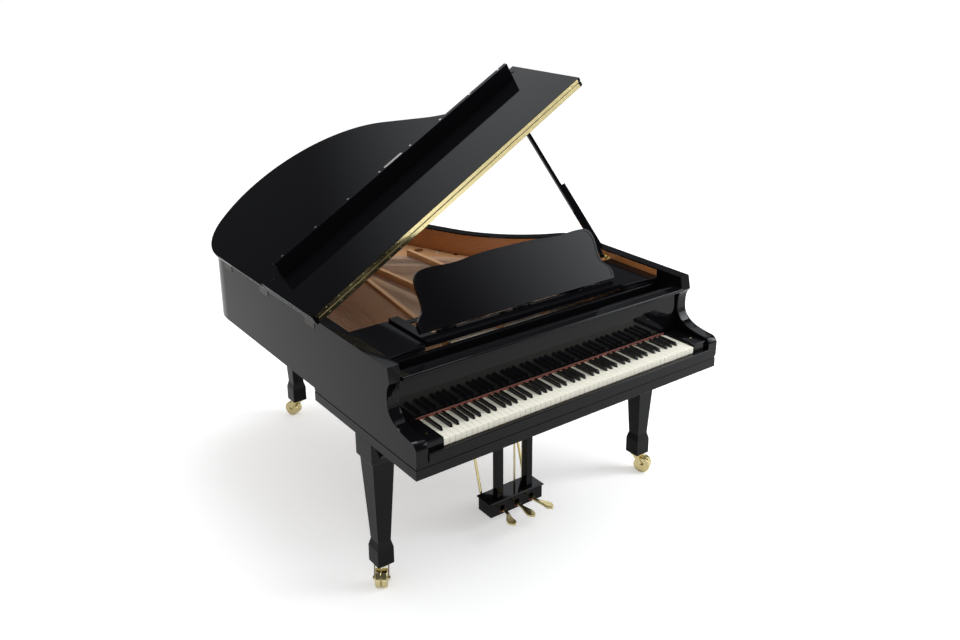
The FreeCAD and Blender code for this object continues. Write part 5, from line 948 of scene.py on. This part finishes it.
def note_lean(note):
    """How far a note's strings lean towards the treble."""
    if note < WOUND_NOTES:
        return math.radians(WOUND_LEAN)
    share = (note - WOUND_NOTES) / (NOTES - 1 - WOUND_NOTES)
    return math.radians(TENOR_LEAN + (TREBLE_LEAN - TENOR_LEAN) * share)


def string_x(note, y):
    """The sideways place of a note's middle string at a distance along the strings."""
    return note_x(note) + math.tan(note_lean(note)) * (y - DAMPER_Y)


def string_places(note):
    """The tuning pins of a note, as x and y in the drawing."""
    count = 1 if note < WOUND_SINGLE else 2 if note < WOUND_NOTES else 3
    places = []
    for step, row in zip(STRING_STEPS[count], PIN_ROWS[count]):
        places.append((string_x(note, row) + step, row))
    return places


# Operators

class PIANO_OT_studio(bpy.types.Operator):
    """Place the camera, lamps, pale floor and white surroundings"""

    bl_idname = "piano.studio"
    bl_label = "Studio"

    def execute(self, context):
        settings = context.scene.piano_studio
        place_camera(settings)
        lay_floor(settings)
        light_world(settings)
        hang_lamp("Key Softbox", (3.4, -3.2, 3.0), (0.1, -0.2, 0.8), 3.2, settings.key_strength, 0.0)
        hang_lamp("Top Softbox", (0.3, 0.8, 4.4), (0.0, 0.0, 0.9), 1.8, settings.top_strength, 1.0)
        context.scene.view_settings.view_transform = "Standard"
        return {"FINISHED"}


def place_camera(settings):
    """The camera at the photograph's viewing angle."""
    data = bpy.data.cameras.new("Camera")
    data.sensor_width = 36.0
    data.lens = settings.camera_lens
    data.shift_x, data.shift_y = settings.camera_shift
    data.clip_end = 200.0
    camera = bpy.data.objects.new("Camera", data)
    bpy.context.scene.collection.objects.link(camera)
    pitch, roll, turn = settings.camera_turn
    forward = Vector((math.sin(turn) * math.cos(pitch), math.cos(turn) * math.cos(pitch),
                      -math.sin(pitch)))
    level = Vector((math.cos(turn), -math.sin(turn), 0.0))
    upright = level.cross(forward)
    right = level * math.cos(roll) + upright * math.sin(roll)
    up = upright * math.cos(roll) - level * math.sin(roll)
    axes = Matrix((right, up, -forward)).transposed().to_4x4()
    camera.matrix_world = Matrix.Translation(Vector(settings.camera_place)) @ axes
    bpy.context.scene.camera = camera


def lay_floor(settings):
    """A pale floor that looks white, seen directly or in polish, and keeps the shadow."""
    work = bmesh.new()
    bmesh.ops.create_grid(work, x_segments=1, y_segments=1, size=60.0)
    floor = link_object("Floor", mesh_from("Floor", work))
    material = bpy.data.materials.new("Pale Floor")
    material.use_nodes = True
    tree = material.node_tree
    tree.nodes.clear()
    path = new_node(tree, "ShaderNodeLightPath", -700, 200)
    direct = new_node(tree, "ShaderNodeMath", -460, 340, operation="MAXIMUM")
    visible = new_node(tree, "ShaderNodeMath", -260, 300, operation="MAXIMUM")
    lift = new_node(tree, "ShaderNodeMath", -460, -160, operation="MULTIPLY")
    lift.inputs[1].default_value = settings.floor_glow
    seen = new_node(tree, "ShaderNodeBsdfDiffuse", -300, 0)
    seen.inputs["Color"].default_value = (0.9, 0.9, 0.9, 1.0)
    glow = new_node(tree, "ShaderNodeEmission", -300, -160)
    lifted = new_node(tree, "ShaderNodeAddShader", -60, -60)
    unseen = new_node(tree, "ShaderNodeBsdfDiffuse", -300, -340)
    unseen.inputs["Color"].default_value = (0.4, 0.4, 0.4, 1.0)
    mix = new_node(tree, "ShaderNodeMixShader", 160, 0)
    end = new_node(tree, "ShaderNodeOutputMaterial", 380, 0)
    link = tree.links.new
    link(seen.outputs["BSDF"], lifted.inputs[0])
    link(glow.outputs["Emission"], lifted.inputs[1])
    link(path.outputs["Is Camera Ray"], direct.inputs[0])
    link(path.outputs["Is Transmission Ray"], direct.inputs[1])
    link(direct.outputs["Value"], lift.inputs[0])
    link(lift.outputs["Value"], glow.inputs["Strength"])
    link(direct.outputs["Value"], visible.inputs[0])
    link(path.outputs["Is Glossy Ray"], visible.inputs[1])
    link(visible.outputs["Value"], mix.inputs["Fac"])
    link(unseen.outputs["BSDF"], mix.inputs[1])
    link(lifted.outputs["Shader"], mix.inputs[2])
    link(mix.outputs["Shader"], end.inputs["Surface"])
    floor.data.materials.append(material)


def light_world(settings):
    """White behind the piano, even light on matt surfaces, and a soft glow seen in polish."""
    world = bpy.data.worlds.new("Studio")
    bpy.context.scene.world = world
    world.use_nodes = True
    tree = world.node_tree
    tree.nodes.clear()
    path = new_node(tree, "ShaderNodeLightPath", -700, 360)
    place = new_node(tree, "ShaderNodeTexCoord", -1100, -100)
    glow_way = new_node(tree, "ShaderNodeVectorMath", -880, -100, operation="DOT_PRODUCT")
    glow_way.inputs[1].default_value = Vector((0.32, 0.43, 0.845)).normalized()
    glow = new_node(tree, "ShaderNodeMapRange", -640, -100, interpolation_type="SMOOTHSTEP")
    glow.inputs["From Min"].default_value = 0.79
    glow.inputs["From Max"].default_value = 0.92
    glow.inputs["To Min"].default_value = 0.09
    glow.inputs["To Max"].default_value = 1.4
    split = new_node(tree, "ShaderNodeSeparateXYZ", -880, -320)
    backdrop = new_node(tree, "ShaderNodeMapRange", -640, -360, interpolation_type="SMOOTHSTEP")
    backdrop.inputs["From Min"].default_value = 0.22
    backdrop.inputs["From Max"].default_value = 0.05
    brightest = new_node(tree, "ShaderNodeMath", -460, -200, operation="MAXIMUM")
    shine = new_node(tree, "ShaderNodeBackground", -300, -100)
    even = new_node(tree, "ShaderNodeBackground", -300, 100)
    even.inputs["Strength"].default_value = settings.room_light
    white = new_node(tree, "ShaderNodeBackground", -300, 300)
    gloss = new_node(tree, "ShaderNodeMixShader", 0, 0)
    direct = new_node(tree, "ShaderNodeMath", -300, 500, operation="MAXIMUM")
    seen = new_node(tree, "ShaderNodeMixShader", 240, 100)
    end = new_node(tree, "ShaderNodeOutputWorld", 460, 100)
    for background in (even, white):
        background.inputs["Color"].default_value = (1.0, 1.0, 1.0, 1.0)
    shine.inputs["Color"].default_value = (0.93, 0.96, 1.0, 1.0)
    link = tree.links.new
    link(place.outputs["Generated"], glow_way.inputs[0])
    link(glow_way.outputs["Value"], glow.inputs["Value"])
    link(place.outputs["Generated"], split.inputs["Vector"])
    link(split.outputs["Z"], backdrop.inputs["Value"])
    link(glow.outputs["Result"], brightest.inputs[0])
    link(backdrop.outputs["Result"], brightest.inputs[1])
    link(brightest.outputs["Value"], shine.inputs["Strength"])
    link(path.outputs["Is Glossy Ray"], gloss.inputs["Fac"])
    link(even.outputs["Background"], gloss.inputs[1])
    link(shine.outputs["Background"], gloss.inputs[2])
    link(path.outputs["Is Camera Ray"], direct.inputs[0])
    link(path.outputs["Is Transmission Ray"], direct.inputs[1])
    link(direct.outputs["Value"], seen.inputs["Fac"])
    link(gloss.outputs["Shader"], seen.inputs[1])
    link(white.outputs["Background"], seen.inputs[2])
    link(seen.outputs["Shader"], end.inputs["Surface"])


def hang_lamp(name, place, target, size, watts, edge):
    """A square soft lamp that points at a place and fades to a share of its light at one side."""
    data = bpy.data.lights.new(name, "AREA")
    data.size = size
    data.energy = watts
    data.color = (0.95, 0.97, 1.0)
    data.use_nodes = True
    tree = data.node_tree
    across = new_node(tree, "ShaderNodeNewGeometry", -700, 0)
    split = new_node(tree, "ShaderNodeSeparateXYZ", -480, 0)
    fade = new_node(tree, "ShaderNodeMapRange", -260, 0, interpolation_type="SMOOTHSTEP")
    fade.inputs["To Min"].default_value = edge
    tree.links.new(across.outputs["Parametric"], split.inputs["Vector"])
    tree.links.new(split.outputs["X"], fade.inputs["Value"])
    tree.links.new(fade.outputs["Result"], tree.nodes["Emission"].inputs["Strength"])
    lamp = bpy.data.objects.new(name, data)
    bpy.context.scene.collection.objects.link(lamp)
    lamp.location = place
    way = Vector(target) - Vector(place)
    lamp.rotation_euler = way.to_track_quat("-Z", "Y").to_euler()


class PIANO_OT_black_case(bpy.types.Operator):
    """Lacquer the case, lid, desk, legs and lyre, and round their edges"""

    bl_idname = "piano.black_case"
    bl_label = "Black Case"

    def execute(self, context):
        lacquer = black_lacquer()
        for name in BLACK_PARTS:
            add_rounding(paint_part(name, lacquer), finishes().lacquer_edge, 3)
        return {"FINISHED"}


class PIANO_OT_timber(bpy.types.Operator):
    """Finish the veneer, soundboard and hidden timber"""

    bl_idname = "piano.timber"
    bl_label = "Timber"

    def execute(self, context):
        settings = finishes()
        veneer = wood("Rim Veneer", settings.veneer_light, settings.veneer_dark, 26.0, 5.0,
                      (math.radians(90), 0.0, 0.0), 0.5)
        spruce = wood("Soundboard Spruce", settings.spruce_light, settings.spruce_dark, 90.0, 1.2,
                      (0.0, 0.0, math.radians(35)), 0.3)
        maple = wood("Maple", (0.6, 0.4, 0.21), (0.42, 0.25, 0.115), 40.0, 1.5,
                     (0.0, 0.0, 0.0), 0.0)
        paint_part("rim_lining", veneer)
        paint_part("soundboard", spruce)
        for name in TIMBER_PARTS:
            paint_part(name, maple)
        return {"FINISHED"}


class PIANO_OT_plate(bpy.types.Operator):
    """Paint the cast plate and set its bolts and string guides"""

    bl_idname = "piano.plate"
    bl_label = "Plate"

    def execute(self, context):
        paint_part("plate", cast_paint())
        sizes = fittings()
        settings = finishes()
        brass = metal("Guide Brass", settings.brass, 0.2, 0.4, 260.0)
        work = bmesh.new()
        tall = sizes.agraffe_height
        lathe(work, [(0.0042, 0.0), (0.0042, tall * 0.25), (0.0026, tall * 0.35),
                     (0.0026, tall * 0.5), (0.0040, tall * 0.62), (0.0040, tall)], 8)
        guide = mesh_from("String Guide", work)
        smooth_by_angle(guide, SMOOTH_TURN)
        tree = fittings_on_points_tree()
        places = [at(string_x(note, GUIDE_Y), GUIDE_Y, PLATE_TOP) for note in range(NOTES)]
        set_out("string_guides", points_object("guide_points", places), tree, guide,
                "case", "brass", Material=brass)
        bolt = slotted_head("Plate Bolt", sizes.bolt_radius, sizes.bolt_radius * 0.45, 24)
        places = [at(x, y, PLATE_TOP) for x, y in PLATE_BOLTS]
        turn = {"Loose Turn": math.pi}
        set_out("plate_bolts", points_object("bolt_points", places), tree, bolt, "case", "steel",
                Material=metal("Bolt Steel", (0.45, 0.44, 0.43), 0.22, 0.4, 200.0), **turn)
        return {"FINISHED"}


class PIANO_OT_strings(bpy.types.Operator):
    """Finish the strings and pins, and wind the wire round the pins"""

    bl_idname = "piano.strings"
    bl_label = "Strings"

    def execute(self, context):
        steel = metal("String Steel", (0.92, 0.86, 0.8), 0.25, 0.4, 300.0, metallic=STRING_METALLIC)
        paint_part("plain_strings", steel)
        paint_part("tuning_pins", metal("Blued Pin Steel", (0.52, 0.53, 0.56), 0.14, 0.3, 260.0))
        paint_part("wound_strings", copper_winding())
        turns = fittings().coil_turns
        work = bmesh.new()
        profile = [(0.0034, -0.0008)]
        for number in range(turns):
            middle = 0.0011 * number
            profile += [(0.0036, middle - 0.0005), (0.0043, middle), (0.0036, middle + 0.0005)]
        profile.append((0.0034, 0.0011 * (turns - 1) + 0.0008))
        lathe(work, profile, 10)
        coil = mesh_from("Pin Coil", work)
        smooth_by_angle(coil, math.radians(60))
        places = []
        for note in range(NOTES):
            height = PIN_WIRE_WOUND if note < WOUND_NOTES else PIN_WIRE_PLAIN
            for x, y in string_places(note):
                places.append(at(x, y, height))
        set_out("pin_coils", points_object("coil_points", places), fittings_on_points_tree(),
                coil, "case", "steel", Material=steel)
        return {"FINISHED"}


class PIANO_OT_bridge_pins(bpy.types.Operator):
    """Drive two rows of pins along the long bridge"""

    bl_idname = "piano.bridge_pins"
    bl_label = "Bridge Pins"

    def execute(self, context):
        work = bmesh.new()
        lathe(work, [(0.0009, -0.001), (0.0009, 0.0022), (0.0005, 0.0026)], 6)
        pin = mesh_from("Bridge Pin", work)
        line = [at(x, y, BRIDGE_TOP) for x, y in BRIDGE_LINE]
        brass = metal("Bridge Pin Metal", (0.8, 0.66, 0.4), 0.2, 0.35, 260.0)
        set_out("bridge_pins", line_object("bridge_pin_line", line), along_curve_tree(), pin,
                "case", "brass", Pitch=fittings().bridge_pin_pitch, Aside=0.009, Material=brass)
        return {"FINISHED"}


class PIANO_OT_keys(bpy.types.Operator):
    """Cover the keys and round their tops"""

    bl_idname = "piano.keys"
    bl_label = "Keys"

    def execute(self, context):
        ivory = key_material("Ivory Key", finishes().ivory, False)
        ebony = key_material("Ebony Key", (0.006, 0.006, 0.006), True)
        for names, material, segments in ((NATURAL_KEYS, ivory, 2), (SHARP_KEYS, ebony, 3)):
            for name in names:
                add_rounding(paint_part(name, material), finishes().key_edge, segments)
        return {"FINISHED"}


class PIANO_OT_action(bpy.types.Operator):
    """Finish the hammers and dampers"""

    bl_idname = "piano.action"
    bl_label = "Hammers And Dampers"

    def execute(self, context):
        paint_part("hammers", hammer_material())
        damper = wool_felt("Damper Black", (0.012, 0.012, 0.012), (0.03, 0.03, 0.03))
        add_rounding(paint_part("damper_set", damper), 0.0006, 2)
        return {"FINISHED"}


class PIANO_OT_brass(bpy.types.Operator):
    """Polish the hinges, casters, pedals and screws"""

    bl_idname = "piano.brass"
    bl_label = "Brass"

    def execute(self, context):
        brass = metal("Polished Brass", finishes().brass, 0.12, 0.26, 240.0)
        for name in BRASS_PARTS:
            paint_part(name, brass)
        for name in ("pedal_left", "pedal_middle", "pedal_right"):
            add_rounding(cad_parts[name], finishes().metal_edge, 2)
        paint_part("rim_hinges", metal("Dark Bronze", (0.05, 0.045, 0.04), 0.16, 0.3, 240.0))
        paint_part("rail_hardware", metal("Bright Steel", (0.8, 0.8, 0.82), 0.1, 0.22, 240.0))
        return {"FINISHED"}


class PIANO_OT_hinge_screws(bpy.types.Operator):
    """Set pairs of countersunk screws along both leaves of the lid's long hinge"""

    bl_idname = "piano.hinge_screws"
    bl_label = "Hinge Screws"

    def execute(self, context):
        sizes = fittings()
        brass = metal("Screw Brass", finishes().brass, 0.1, 0.2, 240.0)
        head = slotted_head("Hinge Screw", sizes.hinge_screw_radius, 0.0005, 20)
        stand = Matrix.Rotation(math.radians(90), 4, "X")
        tree = row_tree()
        for body, height in (("lid", LEAF_MIDDLE), ("flap", 2 * FOLD_Z - LEAF_MIDDLE)):
            shift = Matrix.Translation(at(0.0, LEAF_FACE, height))
            set_out(body + "_hinge_screws", points_object("screw_row", [(0.0, 0.0, 0.0)]), tree,
                    head.copy(), body, "brass", place=opened_lid() @ shift @ stand,
                    Length=LEAF_HALF_LENGTH * 2, Pitch=sizes.hinge_screw_pitch, Material=brass)
        return {"FINISHED"}


class PIANO_OT_felts(bpy.types.Operator):
    """Replace the plain felt solids with soft, slightly uneven felt"""

    bl_idname = "piano.felts"
    bl_label = "Felts"

    def execute(self, context):
        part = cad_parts["felt_strips"]
        work = bmesh.new()
        work.from_mesh(part.data)
        bmesh.ops.remove_doubles(work, verts=work.verts, dist=CLOSE)
        bmesh.ops.dissolve_limit(work, angle_limit=math.radians(1), verts=work.verts,
                                 edges=work.edges)
        front, back = (place - DRAWING_CENTRE.y for place in KEY_FELT_SPAN)
        seen = [place - DRAWING_CENTRE.y for place in KEY_FELT_SEEN]
        for point in work.verts:
            if KEY_FELT_LEVEL[0] < point.co.z < KEY_FELT_LEVEL[1]:
                point.co.y = seen[0] if abs(point.co.y - front) < abs(point.co.y - back) else seen[1]
        for turn in range(5):
            long_edges = [edge for edge in work.edges if edge.calc_length() > 0.009]
            bmesh.ops.subdivide_edges(work, edges=long_edges, cuts=1, use_grid_fill=True)
        bmesh.ops.bevel(work, geom=[edge for edge in work.edges if edge.is_manifold
                                    and edge.calc_face_angle() > SMOOTH_TURN],
                        offset=0.0005, segments=2, profile=0.5, affect="EDGES")
        for point in work.verts:
            sway = noise.noise(point.co * 180.0) + 0.5 * noise.noise(point.co * 500.0)
            point.co += point.normal * sway * 0.00012
        mesh = mesh_from("felt_dressing", work)
        mesh.shade_smooth()
        mesh.materials.clear()
        mesh.materials.append(wool_felt("Red Felt", finishes().felt, (0.34, 0.04, 0.03)))
        piece = link_object("felt_dressing", mesh)
        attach(piece, "case")
        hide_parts("felt_strips")
        return {"FINISHED"}


OPERATORS = (PIANO_OT_studio, PIANO_OT_black_case, PIANO_OT_timber, PIANO_OT_plate,
             PIANO_OT_strings, PIANO_OT_bridge_pins, PIANO_OT_keys, PIANO_OT_action,
             PIANO_OT_brass, PIANO_OT_hinge_screws, PIANO_OT_felts)


class PIANO_PT_panel(bpy.types.Panel):
    """The grand piano's finishes and fittings"""

    bl_idname = "PIANO_PT_panel"
    bl_label = "Grand Piano"
    bl_space_type = "VIEW_3D"
    bl_region_type = "UI"
    bl_category = "Grand Piano"

    def draw(self, context):
        for operator in OPERATORS:
            self.layout.operator(operator.bl_idname)
        for settings in (context.scene.piano_finishes, context.scene.piano_fittings,
                         context.scene.piano_studio):
            box = self.layout.box()
            for name in settings.__annotations__:
                box.prop(settings, name)


SETTINGS = {"piano_finishes": PianoFinishes, "piano_fittings": PianoFittings,
            "piano_studio": PianoStudio}
CLASSES = (*SETTINGS.values(), *OPERATORS, PIANO_PT_panel)


def register():
    """Register the classes and the scene's settings."""
    for item in CLASSES:
        bpy.utils.register_class(item)
    for name, group in SETTINGS.items():
        setattr(bpy.types.Scene, name, PointerProperty(type=group))


def unregister():
    """Remove the scene's settings and the classes."""
    for name in SETTINGS:
        delattr(bpy.types.Scene, name)
    for item in reversed(CLASSES):
        bpy.utils.unregister_class(item)


def main():
    """Finish the piano and build its studio."""
    register()
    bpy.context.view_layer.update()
    for operator in OPERATORS:
        group, name = operator.bl_idname.split(".")
        getattr(getattr(bpy.ops, group), name)()


if __name__ == "__main__":
    main()
